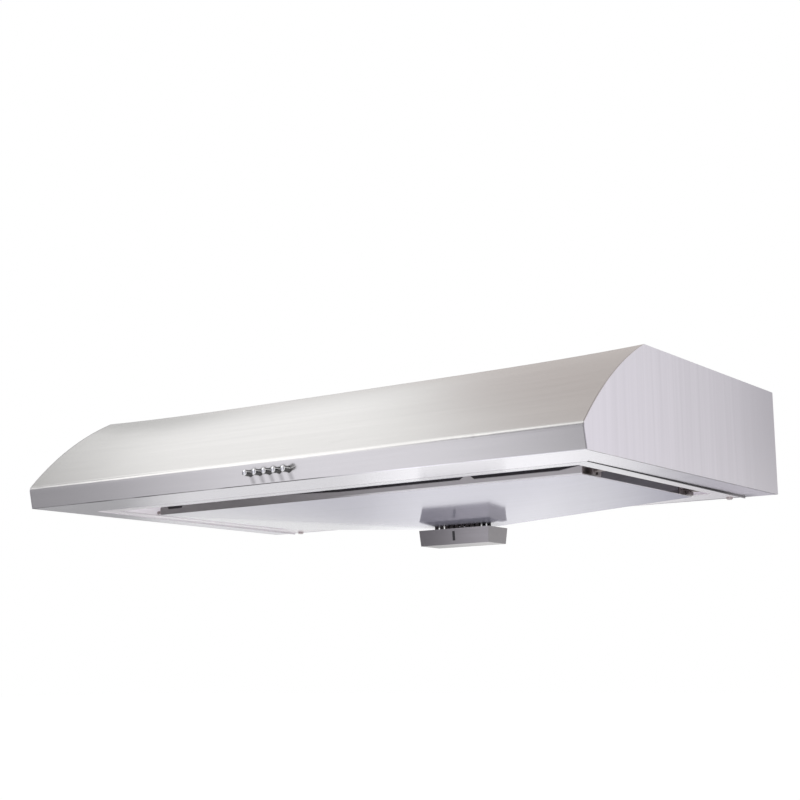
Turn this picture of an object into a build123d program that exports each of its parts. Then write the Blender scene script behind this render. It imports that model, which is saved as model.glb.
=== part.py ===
"""Under-cabinet range hood, as separate pieces, one STEP file each.

A folded stainless shell hangs under a wall cabinet. Two blowers stand on a liner tray inside it and feed one
collector under a round duct collar with a two-leaf damper. A tilting oil guard closes the tray from below and
leaves a suction gap around its edge. Grease runs to the guard's low corner and drips into a slide-off cup.

Frame: +X to the right as seen from the front, +Y to the wall, +Z up, in millimetres. The origin is on the top
face, at the centre of the four screws that hold the hood to the cabinet.
"""

from build123d import *
from math import cos, radians, sin, sqrt
import os

os.makedirs("parts", exist_ok=True)

# ---- shell ----
WIDTH = 908.0  # over the side panels, for a 36 in cabinet
DEPTH = 540.0  # foot of the front band to the back face
HEIGHT = 143.0  # bottom edge to top face
SHEET = 1.0  # stainless sheet of the shell, liner and guard
FLANGE = 14.0  # folded joining flanges inside the shell
BAND_HEIGHT = 28.5  # front band, up to where its bend would be sharp
BAND_LEAN = 6.5  # the band's top stands this far ahead of its foot
BAND_BEND = 9.0  # outside radius of the bend above the band
CREST_SETBACK = 147.0  # front band's foot to the top edge, at the ends
CREST_BOW = 19.0  # extra setback of the top edge in the middle
BOW_POWER = 4.0  # how late the top edge eases forward to the ends
CANOPY_SAG = 10.0  # bulge of the front panel's curve over its chord

# ---- cabinet screws and the wall side ----
CABINET_HOLE_X = 780.0
CABINET_HOLE_Y = 300.0
CABINET_HOLE_BACK = 45.0  # rear holes to the back face
CABINET_HOLE_R = 3.0

# ---- bottom frame and liner tray ----
SEAM = 0.6  # bottom frame to the shell around it
FRAME_LIP = 8.0  # upstand of the frame along the shell
FRAME_FRONT = 82.0  # front strip, from the band's foot
FRAME_SIDE = 44.0  # side strips, from the outside of the side panels
FRAME_BACK = 5.0  # back strip, from the back face
FRAME_UPSTAND = 14.0  # upstand around the opening, which carries the liner
LINER_SEAM = 1.2  # liner edge to the frame's opening
LINER_HEM = 3.0  # hem that rests on the frame's upstand
LINER_FRONT = 21.0  # liner's bright lip at the front
LINER_SIDE = 25.0  # the same at the sides
LINER_BACK = 43.0  # the same at the back
EDGE_FRONT = 0.5  # turned-down side edges of the liner, below the frame at their front
EDGE_BACK = 2.6  # and at their back
LINER_HEIGHT = 45.0  # depth of the tray
LINER_FLANGE = 8.0  # flange around the top of the tray's walls, under its roof
PAD_WIDTH = 47.0  # flat pads that fill the tray's back corners
THUMBSCREW_INSET = 20.0  # thumbscrew to the liner's side edge
THUMBSCREW_BACK = 9.0  # thumbscrew to the frame opening's back edge
THUMBSCREW_R = 2.0
THUMBSCREW_HEAD_R = 4.5
THUMBSCREW_HEAD = 3.5
EAR = 16.0  # frame ears that the thumbscrews bite into

# ---- oil guard ----
GUARD_FRONT_GAP = 59.0  # suction gap at the front
GUARD_SIDE_GAP = 28.0  # and at the sides
GUARD_BACK_GAP = 22.0  # and at the back
GUARD_RISE = 9.0  # guard's rim above the hood's bottom edge
GUARD_SINK = 2.5  # guard's corners below the hood's bottom edge
GUARD_FALL = 22.5  # further fall to the low point at the middle of the back
PAD_GAP = 4.0  # guard to the pads behind it
DRAIN_R = 6.0
PIN_R = 2.5  # the pins that the guard hinges and clips on
PIN_FIT = 0.06  # running clearance around the hinge pins
PIN_HEAD_R = 3.4
PIN_HEAD = 2.0
HINGE_BACK = 15.0  # hinge axis to the guard's back edge
HINGE_RISE = 4.5  # hinge axis above the hood's bottom edge
HINGE_LENGTH = 40.0
HINGE_BOSS = 7.0  # how far the boss stands off the guard's side
HINGE_BOSS_LENGTH = 14.0
CLIP_LENGTH = 46.0
CLIP_FINGER = 8.0
CLIP_STANDOFF = 8.0
CLIP_SLOT = 6.0
PLATE_EDGE = 1.0  # the small fittings stop this far inside the guard's rim
RIVET_R = 1.5
RIVET_HEAD_R = 2.6
RIVET_HEAD = 0.8

# ---- oil cup ----
CUP_WIDTH = 124.0
CUP_DEPTH = 52.0
CUP_HEIGHT = 23.5
CUP_TAPER = 2.0  # each wall leans in by this much towards the bottom
CUP_WALL = 1.0
CUP_BACK = 6.0  # cup's back to the guard's back edge
CUP_DROP = 27.0  # cup's rim below the hood's bottom edge
CUP_LIP = 8.0  # inward lips that slide on the hanger
WINDOW_WIDTH = 4.5
WINDOW_HEIGHT = 14.0
WINDOW_DROP = 4.0  # sight window to the cup's rim
HANGER_WIDTH = 78.0  # comb, over its outer teeth
HANGER_TEETH = 9
HANGER_TOOTH = 6.0
HANGER_SHEET = 1.2
HANGER_DEPTH = 34.0
HANGER_FIT = 0.3  # sliding clearance between cup and hanger

# ---- switches ----
BUTTON_PITCH = 15.9
BUTTON_R = 4.2
BUTTON_FIT = 0.3  # button to the hole in the band
BUTTON_OUT = 12.0  # how far the buttons stand out of the band
BUTTON_Z = 14.75  # button axis above the hood's bottom edge
BUTTON_TRAVEL = 3.5
BUTTON_ROUND = 1.5
STEM_R = 2.5
STEM_FIT = 0.06
STEM_DEPTH = 14.0  # stem inside the switch block
SWITCH_SETBACK = 7.0  # switch block's face behind the band's foot
SWITCH_DEPTH = 30.0
SWITCH_HEIGHT = 24.0
SWITCH_END = 14.0  # switch block beyond the outer buttons

# ---- blowers ----
BLOWER_HEADROOM = 17.0  # blower cover to the top face
IMPELLER_R = 76.0
BLADE_DEPTH = 11.0
BLADE_SHEET = 1.2
BLADE_COUNT = 36
BLADE_CAMBER = 0.4  # how far each blade's middle bows off its chord, as a share of half its depth
IMPELLER_GAP = 5.0  # impeller to the housing, below
IMPELLER_TOP_GAP = 7.0  # and above
RING = 2.0  # the impeller's end rings
HUB_R = 11.0
HUB_LENGTH = 18.0
HUB_DISC_UP = 16.0  # hub disc above the impeller's lower edge
HUB_WINDOW_R = 12.0
HUB_WINDOWS = 6
SCROLL_START = 84.0  # radius of the scroll at its tongue
SCROLL_END = 120.0  # and at its outlet
SCROLL_TONGUE = 140.0  # degrees from +X
SCROLL_SPAN = 310.0  # degrees from the tongue to the outlet
OUTLET_NECK = 115.0  # blower axis to the collector's side
HOUSING_FOOT = 10.0  # flange around the housing's foot
BLOWER_BOLT_ANGLES = (205, 270, 335, 420)  # degrees from +X, round the scroll
INLET_R = 66.0
INLET_LIP = 3.0
GRILLE_RIM = 8.0
GRILLE_BAR = 2.0
GRILLE_RINGS = 3
GRILLE_SPOKES = 6
SHAFT_R = 4.0
SHAFT_FIT = 0.05
MOTOR_R = 42.0
MOTOR_FIT = 0.5
MOTOR_DROP = 41.0  # motor body below the cover
MOTOR_FLANGE_R = 52.0
MOTOR_FLANGE = 2.0
MOTOR_CAP = 9.0
MOTOR_BOSS = 4.0
MOTOR_GRIP = 20.0  # shaft inside the motor

# ---- collector, duct collar and damper ----
COLLECTOR = 170.0  # box under the collar, across
COLLECTOR_FRONT = 115.0  # duct axis to the box's front, which takes in both outlets
COLLECTOR_BACK = 85.0  # and to its back
DUCT_BACK = 110.5  # duct axis to the back face
COLLAR_R = 75.0  # outside, for a 150 mm duct
COLLAR_HEIGHT = 38.0
COLLAR_FLANGE = 16.0
DAMPER_RISE = 8.0  # damper rod above the top face
DAMPER_ROD_R = 2.0
DAMPER_ROD_SHORT = 0.1  # rod's ends inside the collar's face, so that a duct slides over
DAMPER_FIT = 0.06
DAMPER_KNUCKLE_R = 3.6
DAMPER_KNUCKLE = 20.0
DAMPER_SHEET = 0.8
DAMPER_GAP = 1.5  # leaf to the collar's wall
DAMPER_STOP = 4.0

# ---- lamps ----
LAMP_X = 230.0
LAMP_R = 23.0
LAMP_BEZEL_R = 27.0
LAMP_BEZEL = 1.5
LAMP_HEIGHT = 26.0
LAMP_WALL = 1.5
LENS = 2.5

# ---- electrics ----
BOX_WIDTH = 90.0
BOX_DEPTH = 55.0
BOX_HEIGHT = 45.0
BOX_SIDE = 24.0  # terminal box to the side panel
BOX_UP = 17.0  # terminal box above the liner tray
BUSH_R = 11.0
BUSH_BORE_R = 6.0
BUSH_FLANGE_R = 14.0
BUSH_FLANGE = 2.0
TERMINAL_WAYS = 3
TERMINAL_PITCH = 16.0
TERMINAL_HEIGHT = 14.0
TERMINAL_DEPTH = 20.0
CAPACITOR_R = 14.0
CAPACITOR_LENGTH = 52.0
CAPACITOR_SIDE = 30.0  # capacitor axis to the tray's side wall
CAPACITOR_FRONT = 12.0  # capacitor to the tray's front wall
STRAP_WIDTH = 12.0
STRAP_FOOT = 9.0

# ---- fasteners ----
SCREW_R = 2.0
SCREW_HEAD_R = 3.8
SCREW_HEAD = 2.4

# ---- derived places ----
HALF = WIDTH / 2
BACK = CABINET_HOLE_Y / 2 + CABINET_HOLE_BACK
FRONT = BACK - DEPTH
BOTTOM = -HEIGHT
INNER_HALF = HALF - SHEET  # inside of the side panels
MARGIN = 20.0  # how far the cutting solids reach past the shell

FRAME_OPENING = (HALF - FRAME_SIDE, FRONT + FRAME_FRONT, BACK - FRAME_BACK)
TRAY = (
    FRAME_OPENING[0] - LINER_SIDE,
    FRAME_OPENING[1] + LINER_FRONT,
    FRAME_OPENING[2] - LINER_BACK,
)
GUARD = (
    TRAY[0] - GUARD_SIDE_GAP,
    TRAY[1] + GUARD_FRONT_GAP,
    TRAY[2] - GUARD_BACK_GAP,
)
TRAY_ROOF = BOTTOM + LINER_HEIGHT  # top of the liner's roof
HINGE_Y = GUARD[2] - HINGE_BACK
HINGE_Z = BOTTOM + HINGE_RISE
CATCH_Y = GUARD[1] + CLIP_LENGTH / 2
CUP_BACK_Y = GUARD[2] - CUP_BACK
CUP_Y = CUP_BACK_Y - CUP_DEPTH / 2
CUP_RIM_Z = BOTTOM - CUP_DROP
BLOWER_X = COLLECTOR / 2 + OUTLET_NECK
BLOWER_Y = (TRAY[1] + TRAY[2]) / 2
HOUSING_HEIGHT = HEIGHT - LINER_HEIGHT - BLOWER_HEADROOM
COVER_Z = TRAY_ROOF + HOUSING_HEIGHT  # underside of the blower covers
DUCT_Y = BACK - DUCT_BACK
DUCT_R = COLLAR_R - SHEET
LAMP_Y = TRAY[1] + GUARD_FRONT_GAP / 2
STUB = (Align.CENTER, Align.CENTER, Align.MIN)


# ---- building blocks ----
def block(x0, x1, y0, y1, z0, z1):
    """A box between three pairs of planes."""
    return Pos((x0 + x1) / 2, (y0 + y1) / 2, (z0 + z1) / 2) * Box(x1 - x0, y1 - y0, z1 - z0)


def rod(radius, start, end):
    """A cylinder from one point to another."""
    run = Vector(*end) - Vector(*start)
    return Plane(origin=start, z_dir=run) * Cylinder(radius, run.length, align=STUB)


def tube(outer, inner, start, end):
    """A straight pipe from one point to another."""
    return rod(outer, start, end) - rod(inner, start, end)


def upright(radius, x, y, z0, z1):
    """A vertical cylinder."""
    return rod(radius, (x, y, z0), (x, y, z1))


def shrink(rect, by):
    """A rectangle (half width, front, back) moved in on all sides."""
    return (rect[0] - by, rect[1] + by, rect[2] - by)


def slab(rect, z0, z1):
    """A flat plate over a rectangle."""
    return block(-rect[0], rect[0], rect[1], rect[2], z0, z1)


def ring(outer, inner, z0, z1):
    """A rectangular ring."""
    return slab(outer, z0, z1) - slab(inner, z0, z1)


def both_sides(shape):
    """A right-hand shape and its mirror image, as a pair of solids."""
    return list(shape.solids()) + list(mirror(shape, Plane.YZ).solids())


def grouped(shapes):
    """Loose solids that share one node."""
    return Compound([solid for shape in shapes for solid in shape.solids()])


# ---- canopy ----
def crest_setback(x):
    """Setback of the top edge: bowed in plan, easing forward to both ends."""
    return CREST_SETBACK + CREST_BOW * (1 - abs(2 * x / WIDTH) ** BOW_POWER)


def canopy_profile(x, inset):
    """End view of the hood's volume at x, with its front moved in by inset."""
    foot = Vector(FRONT, BOTTOM)
    corner = foot + Vector(-BAND_LEAN, BAND_HEIGHT)
    crest = Vector(FRONT + crest_setback(x), 0)
    chord = crest - corner
    radius = (chord.length**2 / 4 + CANOPY_SAG**2) / (2 * CANOPY_SAG)
    inward = Vector(chord.Y, -chord.X).normalized()
    centre = (corner + crest) / 2 + inward * (radius - CANOPY_SAG)
    radius -= inset
    band = (corner - foot).normalized()
    start = foot + Vector(band.Y, -band.X) * inset
    reach = start - centre
    along = -reach.dot(band) + sqrt(reach.dot(band) ** 2 - reach.dot(reach) + radius**2)
    corner = start + band * along
    low = start - band * (MARGIN / band.Y)
    crest = Vector(centre.X - sqrt(radius**2 - (inset + centre.Y) ** 2), -inset)
    middle = centre + ((corner + crest) / 2 - centre).normalized() * radius
    sides = [
        Line(low, corner),
        ThreePointArc(corner, middle, crest),
        Polyline(crest, (BACK, -inset), (BACK, low.Y), low),
    ]
    face = make_face(sides)
    bend = face.vertices().sort_by_distance(corner)[0]
    face = fillet(bend, BAND_BEND - inset)
    return Plane(origin=(x, 0, 0), x_dir=(0, 1, 0), z_dir=(1, 0, 0)) * face


def canopy_mass(inset):
    """The hood's whole volume, bowed along the front."""
    stations = (-1, -0.8, -0.55, -0.25, 0, 0.25, 0.55, 0.8, 1)
    return loft([canopy_profile(HALF * station, inset) for station in stations])


OUTSIDE = canopy_mass(0)
LINING = canopy_mass(SHEET)


def between(half, y1, z0, z1):
    """A cutting box across the whole front."""
    return block(-half, half, FRONT - MARGIN, y1, z0, z1)


def button_x(index):
    return (index - 2) * BUTTON_PITCH


def front_panel():
    """One sheet: leaning band, bend, bowed slope and a flange under the top panel."""
    skin = OUTSIDE & between(INNER_HALF, BACK, BOTTOM, -SHEET)
    skin -= LINING & between(HALF, BACK, BOTTOM - SHEET, -2 * SHEET)
    skin -= Pos(0, FLANGE, 0) * OUTSIDE
    for index in range(5):
        x, z = button_x(index), BOTTOM + BUTTON_Z
        skin -= rod(BUTTON_R + BUTTON_FIT, (x, FRONT - MARGIN, z), (x, FRONT + MARGIN, z))
    return skin


def side_panel():
    """Right-hand end: the full profile, with flanges under the top and inside the back."""
    end = canopy_profile(HALF, 0).moved(Location((-SHEET, 0, 0)))
    plate = extrude(end, amount=SHEET, dir=(1, 0, 0)) & between(HALF, BACK, BOTTOM, 0)
    inner = INNER_HALF - FLANGE
    crest = FRONT + crest_setback(inner) + FLANGE + 2 * SHEET
    plate += block(inner, INNER_HALF, crest, BACK - SHEET, -2 * SHEET, -SHEET)
    foot = BOTTOM + FRAME_LIP + 2 * SHEET
    plate += block(inner, INNER_HALF, BACK - 2 * SHEET, BACK - SHEET, foot, -2 * SHEET)
    return plate


def top_panel():
    """Flat top behind a bowed front edge, with the duct hole and four cabinet screw holes."""
    flat_from = FRONT + CREST_SETBACK + CREST_BOW + FLANGE
    plate = OUTSIDE & between(INNER_HALF, flat_from, -SHEET, 0)
    plate += block(-INNER_HALF, INNER_HALF, flat_from, BACK, -SHEET, 0)
    plate -= upright(DUCT_R, 0, DUCT_Y, -SHEET, 0)
    for x in (-CABINET_HOLE_X / 2, CABINET_HOLE_X / 2):
        for y in (-CABINET_HOLE_Y / 2, CABINET_HOLE_Y / 2):
            plate -= upright(CABINET_HOLE_R, x, y, -SHEET, 0)
    return plate


def back_panel():
    """Flat back with a flange under the top and the cable inlet."""
    plate = block(-INNER_HALF, INNER_HALF, BACK - SHEET, BACK, BOTTOM, -SHEET)
    inner = INNER_HALF - FLANGE - SHEET
    plate += block(-inner, inner, BACK - SHEET - FLANGE, BACK - SHEET, -2 * SHEET, -SHEET)
    x, z = BUSH_PLACE
    return plate - rod(BUSH_R, (x, BACK - SHEET, z), (x, BACK, z))


# ---- rivets that hold the shell together: places on the top and on the back ----
SIDE_RIVET_X = INNER_HALF - FLANGE / 2
SIDE_RIVET_Y = (-CABINET_HOLE_Y / 3, 0, CABINET_HOLE_Y / 2)
TOP_RIVETS = [(side * SIDE_RIVET_X, y) for side in (-1, 1) for y in SIDE_RIVET_Y]
TOP_RIVETS += [(HALF * share, BACK - SHEET - FLANGE / 2) for share in (-0.66, -0.22, 0.22, 0.66)]
TOP_RIVETS += [(HALF * share, FRONT + crest_setback(HALF * share) + FLANGE / 2) for share in (-0.7, 0, 0.7)]
BACK_RIVETS = [(side * SIDE_RIVET_X, -HEIGHT * share) for side in (-1, 1) for share in (0.2, 0.75)]


def top_rivet_shank(place):
    return upright(SCREW_R, place[0], place[1], -2 * SHEET, 0)


def back_rivet_shank(place):
    return rod(SCREW_R, (place[0], BACK - 2 * SHEET, place[1]), (place[0], BACK, place[1]))


def shell_rivets():
    """Blind rivets, flush outside and headed inside."""
    rivets = []
    for x, y in TOP_RIVETS:
        head = upright(SCREW_HEAD_R, x, y, -2 * SHEET - RIVET_HEAD, -2 * SHEET)
        rivets.append(top_rivet_shank((x, y)) + head)
    for x, z in BACK_RIVETS:
        head = rod(SCREW_HEAD_R, (x, BACK - 2 * SHEET - RIVET_HEAD, z), (x, BACK - 2 * SHEET, z))
        rivets.append(back_rivet_shank((x, z)) + head)
    return grouped(rivets)


def drilled(plate):
    """A shell piece with the rivet holes that fall on it."""
    for place in TOP_RIVETS:
        plate -= top_rivet_shank(place)
    for place in BACK_RIVETS:
        plate -= back_rivet_shank(place)
    return plate


# ---- bottom frame ----
THUMBSCREW_X = FRAME_OPENING[0] - LINER_SEAM - THUMBSCREW_INSET
THUMBSCREW_Y = FRAME_OPENING[2] - THUMBSCREW_BACK


def bottom_frame():
    """Folded frame inside the shell's bottom edge, with an upstand around the liner's opening."""
    half = INNER_HALF - SEAM
    back = BACK - SHEET - SEAM
    frame = canopy_mass(SHEET + SEAM) & between(half, back, BOTTOM, BOTTOM + FRAME_LIP)
    hollow = canopy_mass(2 * SHEET + SEAM)
    frame -= hollow & between(half - SHEET, back - SHEET, BOTTOM + SHEET, 0)
    frame -= slab(FRAME_OPENING, BOTTOM, BOTTOM + SHEET)
    frame += ring(shrink(FRAME_OPENING, -SHEET), FRAME_OPENING, BOTTOM, BOTTOM + FRAME_UPSTAND)
    back_edge = FRAME_OPENING[2]
    for side in (-1, 1):
        x = side * THUMBSCREW_X
        low, high = BOTTOM + SHEET, BOTTOM + 2 * SHEET
        frame += block(x - EAR / 2, x + EAR / 2, back_edge - EAR, back_edge, low, high)
        frame -= upright(THUMBSCREW_R, x, THUMBSCREW_Y, low, high)
    return frame


# ---- liner tray ----
LAMPS = [(-LAMP_X, LAMP_Y), (LAMP_X, LAMP_Y)]
BLOWERS = [(-BLOWER_X, BLOWER_Y), (BLOWER_X, BLOWER_Y)]
GRILLE_R = INLET_R + GRILLE_RIM


def around(count, radius, turn=0.0):
    """Places evenly round a circle."""
    return [
        (radius * cos(radians(turn + 360 * n / count)), radius * sin(radians(turn + 360 * n / count)))
        for n in range(count)
    ]


GRILLE_SCREWS = around(3, INLET_R + GRILLE_RIM / 2, 90)
ROOF_EDGE = shrink(TRAY, -SHEET - LINER_FLANGE)


def flat_sided(points, sides):
    """A closed solid from corner points and the corners of each flat side."""
    faces = [Face(Wire.make_polygon([points[n] for n in side])) for side in sides]
    return Solid(Shell(faces))


BOX_SIDES = [(0, 1, 2, 3), (4, 7, 6, 5), (0, 4, 5, 1), (1, 5, 6, 2), (2, 6, 7, 3), (3, 7, 4, 0)]


def side_edge(x0, x1, y0, y1):
    """Turned-down edge along the liner's side, which hangs lower towards the wall."""
    top = BOTTOM + SHEET / 2
    points = [(x, y, top) for x, y in ((x0, y0), (x1, y0), (x1, y1), (x0, y1))]
    points += [(x, y0, BOTTOM - EDGE_FRONT) for x in (x0, x1)]
    points += [(x, y1, BOTTOM - EDGE_BACK) for x in (x1, x0)]
    return flat_sided(points, BOX_SIDES)


def liner_tray():
    """Liner: bright lip, hem, tray walls with a flange under the roof, and pads at the back corners."""
    edge = shrink(FRAME_OPENING, LINER_SEAM)
    upstand = BOTTOM + FRAME_UPSTAND
    liner = ring(edge, TRAY, BOTTOM, BOTTOM + SHEET)
    liner += ring(edge, shrink(edge, SHEET), BOTTOM, upstand + SHEET)
    liner += ring(shrink(FRAME_OPENING, -LINER_HEM), shrink(edge, SHEET), upstand, upstand + SHEET)
    liner += ring(shrink(TRAY, -SHEET), TRAY, BOTTOM, TRAY_ROOF - SHEET)
    liner += ring(ROOF_EDGE, TRAY, TRAY_ROOF - 2 * SHEET, TRAY_ROOF - SHEET)
    for side in (-1, 1):
        liner += side_edge(*sorted((side * edge[0], side * (edge[0] - SHEET))), *edge[1:])
        x0, x1 = sorted((side * TRAY[0], side * (TRAY[0] - PAD_WIDTH)))
        liner += block(x0, x1, GUARD[2] + PAD_GAP, TRAY[2], BOTTOM, BOTTOM + SHEET)
        x = side * THUMBSCREW_X
        notch = EAR / 2 + SHEET
        y0, y1 = edge[2] - SHEET, edge[2] + MARGIN
        liner -= block(x - notch, x + notch, y0, y1, BOTTOM + SHEET, upstand + SHEET)
        liner -= upright(THUMBSCREW_R, x, THUMBSCREW_Y, BOTTOM, BOTTOM + SHEET)
        for y, z in ((HINGE_Y, HINGE_Z), (CATCH_Y, HINGE_Z)):
            liner -= rod(PIN_R, (x0 - MARGIN, y, z), (x1 + MARGIN, y, z))
    return liner


def liner_roof():
    """Roof of the tray, welded on the walls' flange, with the blower inlets and lamp holes."""
    roof = slab(ROOF_EDGE, TRAY_ROOF - SHEET, TRAY_ROOF)
    for x, y in BLOWERS:
        roof -= upright(INLET_R, x, y, TRAY_ROOF - SHEET, TRAY_ROOF)
        for dx, dy in GRILLE_SCREWS:
            roof -= upright(RIVET_R, x + dx, y + dy, TRAY_ROOF - SHEET, TRAY_ROOF)
    for x, y in LAMPS:
        roof -= upright(LAMP_R, x, y, TRAY_ROOF - SHEET, TRAY_ROOF)
    for x, y in BLOWER_BOLTS:
        roof -= upright(SCREW_R, x, y, TRAY_ROOF - SHEET, TRAY_ROOF)
    return roof


def liner_thumbscrews():
    """Two round-headed screws through the liner's back corners into the frame's ears."""
    shank = upright(THUMBSCREW_R, THUMBSCREW_X, THUMBSCREW_Y, BOTTOM, BOTTOM + 4 * THUMBSCREW_R)
    head = upright(THUMBSCREW_HEAD_R, THUMBSCREW_X, THUMBSCREW_Y, BOTTOM - THUMBSCREW_HEAD, BOTTOM)
    head = chamfer(head.edges().group_by(Axis.Z)[0], THUMBSCREW_R / 2)
    return grouped(both_sides(head + shank))


# ---- oil guard and its fittings ----
def pan(inset, lift, top):
    """The guard's volume: level rim, and three flat facets that fall to the middle of the back."""
    half, front, back = shrink(GUARD, inset)
    floor = BOTTOM - GUARD_SINK + lift
    corners = [
        (-half, front, top),
        (half, front, top),
        (half, back, top),
        (-half, back, top),
        (-half, front, floor),
        (half, front, floor),
        (half, back, floor),
        (-half, back, floor),
        (0, back, floor - GUARD_FALL),
    ]
    sides = [
        (0, 1, 2, 3),
        (0, 4, 5, 1),
        (1, 5, 6, 2),
        (3, 7, 4, 0),
        (2, 6, 8, 7, 3),
        (4, 8, 5),
        (5, 8, 6),
        (7, 8, 4),
    ]
    return flat_sided(corners, sides)


GUARD_TOP = BOTTOM + GUARD_RISE
GUARD_OUTER = pan(0, 0, GUARD_TOP)
CLIP_RIVETS = [(CATCH_Y + shift, HINGE_Z) for shift in (-CLIP_LENGTH / 2 + 4, CLIP_LENGTH / 2 - 4)]
HINGE_RIVETS = [(GUARD[2] - HINGE_LENGTH + shift, HINGE_Z) for shift in (5, 15)]


def guard_rivet_shank(place):
    y, z = place
    return rod(RIVET_R, (GUARD[0] - SHEET, y, z), (GUARD[0] + SHEET, y, z))


def oil_guard_panel():
    """Shallow pan with a polished faceted underside and a drain over the cup."""
    guard = GUARD_OUTER - pan(SHEET, SHEET, GUARD_TOP + MARGIN)
    guard -= upright(DRAIN_R, 0, CUP_Y, CUP_RIM_Z, BOTTOM)
    for place in CLIP_RIVETS + HINGE_RIVETS:
        shank = guard_rivet_shank(place)
        guard -= shank
        guard -= mirror(shank, Plane.YZ)
    return guard


def guard_rivets():
    """Rivets that hold the clips and hinge plates to the guard's sides."""
    rivets = []
    for y, z in CLIP_RIVETS + HINGE_RIVETS:
        start, end = GUARD[0] - SHEET, GUARD[0] + SHEET
        rivet = guard_rivet_shank((y, z))
        rivet += rod(RIVET_HEAD_R, (start - RIVET_HEAD, y, z), (start, y, z))
        rivet += rod(RIVET_HEAD_R, (end, y, z), (end + RIVET_HEAD, y, z))
        rivets += both_sides(rivet)
    return grouped(rivets)


def fitting_plate(y0, y1):
    """Strip that lies on the outside of the guard's side."""
    low, high = BOTTOM - GUARD_SINK + PLATE_EDGE, GUARD_TOP - PLATE_EDGE / 2
    return block(GUARD[0], GUARD[0] + SHEET, y0, y1, low, high)


def guard_clip():
    """Right-hand spring clip: two fingers with a slot between them, open upwards, for the catch stud."""
    clip = fitting_plate(GUARD[1], GUARD[1] + CLIP_LENGTH)
    low, high = BOTTOM - GUARD_SINK + PLATE_EDGE, GUARD_TOP - PLATE_EDGE / 2
    out = GUARD[0] + CLIP_STANDOFF
    for side in (-1, 1):
        near = CATCH_Y + side * CLIP_SLOT / 2
        far = near + side * CLIP_FINGER
        y0, y1 = sorted((near, far))
        finger = block(GUARD[0], out, y0, y1, low, high)
        y0, y1 = sorted((near + side * SHEET, far + side * SHEET))
        clip += finger - block(GUARD[0] + SHEET, out - SHEET, y0, y1, low, high)
    for place in CLIP_RIVETS:
        clip -= guard_rivet_shank(place)
    return clip


def guard_hinge():
    """Right-hand hinge plate with a bored boss for the hinge pin."""
    hinge = fitting_plate(GUARD[2] - HINGE_LENGTH, GUARD[2])
    low, high = BOTTOM - GUARD_SINK + PLATE_EDGE, GUARD_TOP - PLATE_EDGE / 2
    y0, y1 = HINGE_Y - HINGE_BOSS_LENGTH / 2, HINGE_Y + HINGE_BOSS_LENGTH / 2
    hinge += block(GUARD[0] + SHEET, GUARD[0] + HINGE_BOSS, y0, y1, low, high)
    hinge -= rod(
        PIN_R + PIN_FIT, (GUARD[0], HINGE_Y, HINGE_Z), (GUARD[0] + HINGE_BOSS, HINGE_Y, HINGE_Z)
    )
    for place in HINGE_RIVETS:
        hinge -= guard_rivet_shank(place)
    return hinge


def guard_pins():
    """Headed pins in the tray's side walls: the guard hinges on the rear two and clips on the front two."""
    wall = TRAY[0] + SHEET
    pins = []
    for y in (HINGE_Y, CATCH_Y):
        pin = rod(PIN_R, (GUARD[0] + 2 * SHEET, y, HINGE_Z), (wall, y, HINGE_Z))
        pin += rod(PIN_HEAD_R, (wall, y, HINGE_Z), (wall + PIN_HEAD, y, HINGE_Z))
        pins += both_sides(pin)
    return grouped(pins)


# ---- oil cup ----
def cup_body(inset, top):
    """The cup's tapered volume."""
    rim = Pos(0, CUP_Y, top) * Rectangle(CUP_WIDTH - 2 * inset, CUP_DEPTH - 2 * inset)
    shrunk = inset + CUP_TAPER
    floor = CUP_RIM_Z - CUP_HEIGHT + inset
    base = Pos(0, CUP_Y, floor) * Rectangle(CUP_WIDTH - 2 * shrunk, CUP_DEPTH - 2 * shrunk)
    return loft([base, rim])


HANGER_PLATE_TOP = CUP_RIM_Z - CUP_WALL - HANGER_FIT
HANGER_PLATE_HALF = CUP_WIDTH / 2 - CUP_WALL - CUP_TAPER


def window_slot():
    """Upright slot through the cup's front wall."""
    high = CUP_RIM_Z - WINDOW_DROP
    front = CUP_BACK_Y - CUP_DEPTH
    half = WINDOW_WIDTH / 2
    return block(-half, half, front - MARGIN, front + MARGIN, high - WINDOW_HEIGHT, high)


def cup_shell():
    """Tapered cup with inward lips at its ends and a lowered back wall."""
    cup = cup_body(0, CUP_RIM_Z) - cup_body(CUP_WALL, CUP_RIM_Z)
    lips = cup_body(0, CUP_RIM_Z) & block(-HALF, HALF, FRONT, BACK, CUP_RIM_Z - CUP_WALL, CUP_RIM_Z)
    half = CUP_WIDTH / 2 - CUP_LIP
    cup += lips - block(-half, half, FRONT, BACK, CUP_RIM_Z - CUP_WALL, CUP_RIM_Z)
    low = HANGER_PLATE_TOP - HANGER_SHEET - HANGER_FIT
    wide = HANGER_PLATE_HALF + HANGER_FIT
    notch = block(-wide, wide, CUP_BACK_Y - 2 * CUP_TAPER, CUP_BACK_Y, low, CUP_RIM_Z - CUP_WALL)
    notch += block(-half, half, CUP_BACK_Y - 2 * CUP_TAPER, CUP_BACK_Y, low, CUP_RIM_Z)
    return cup - notch


def oil_cup():
    return cup_shell() - window_slot()


def cup_window():
    """Dark sight strip that fills the slot."""
    return cup_shell() & window_slot()


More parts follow.
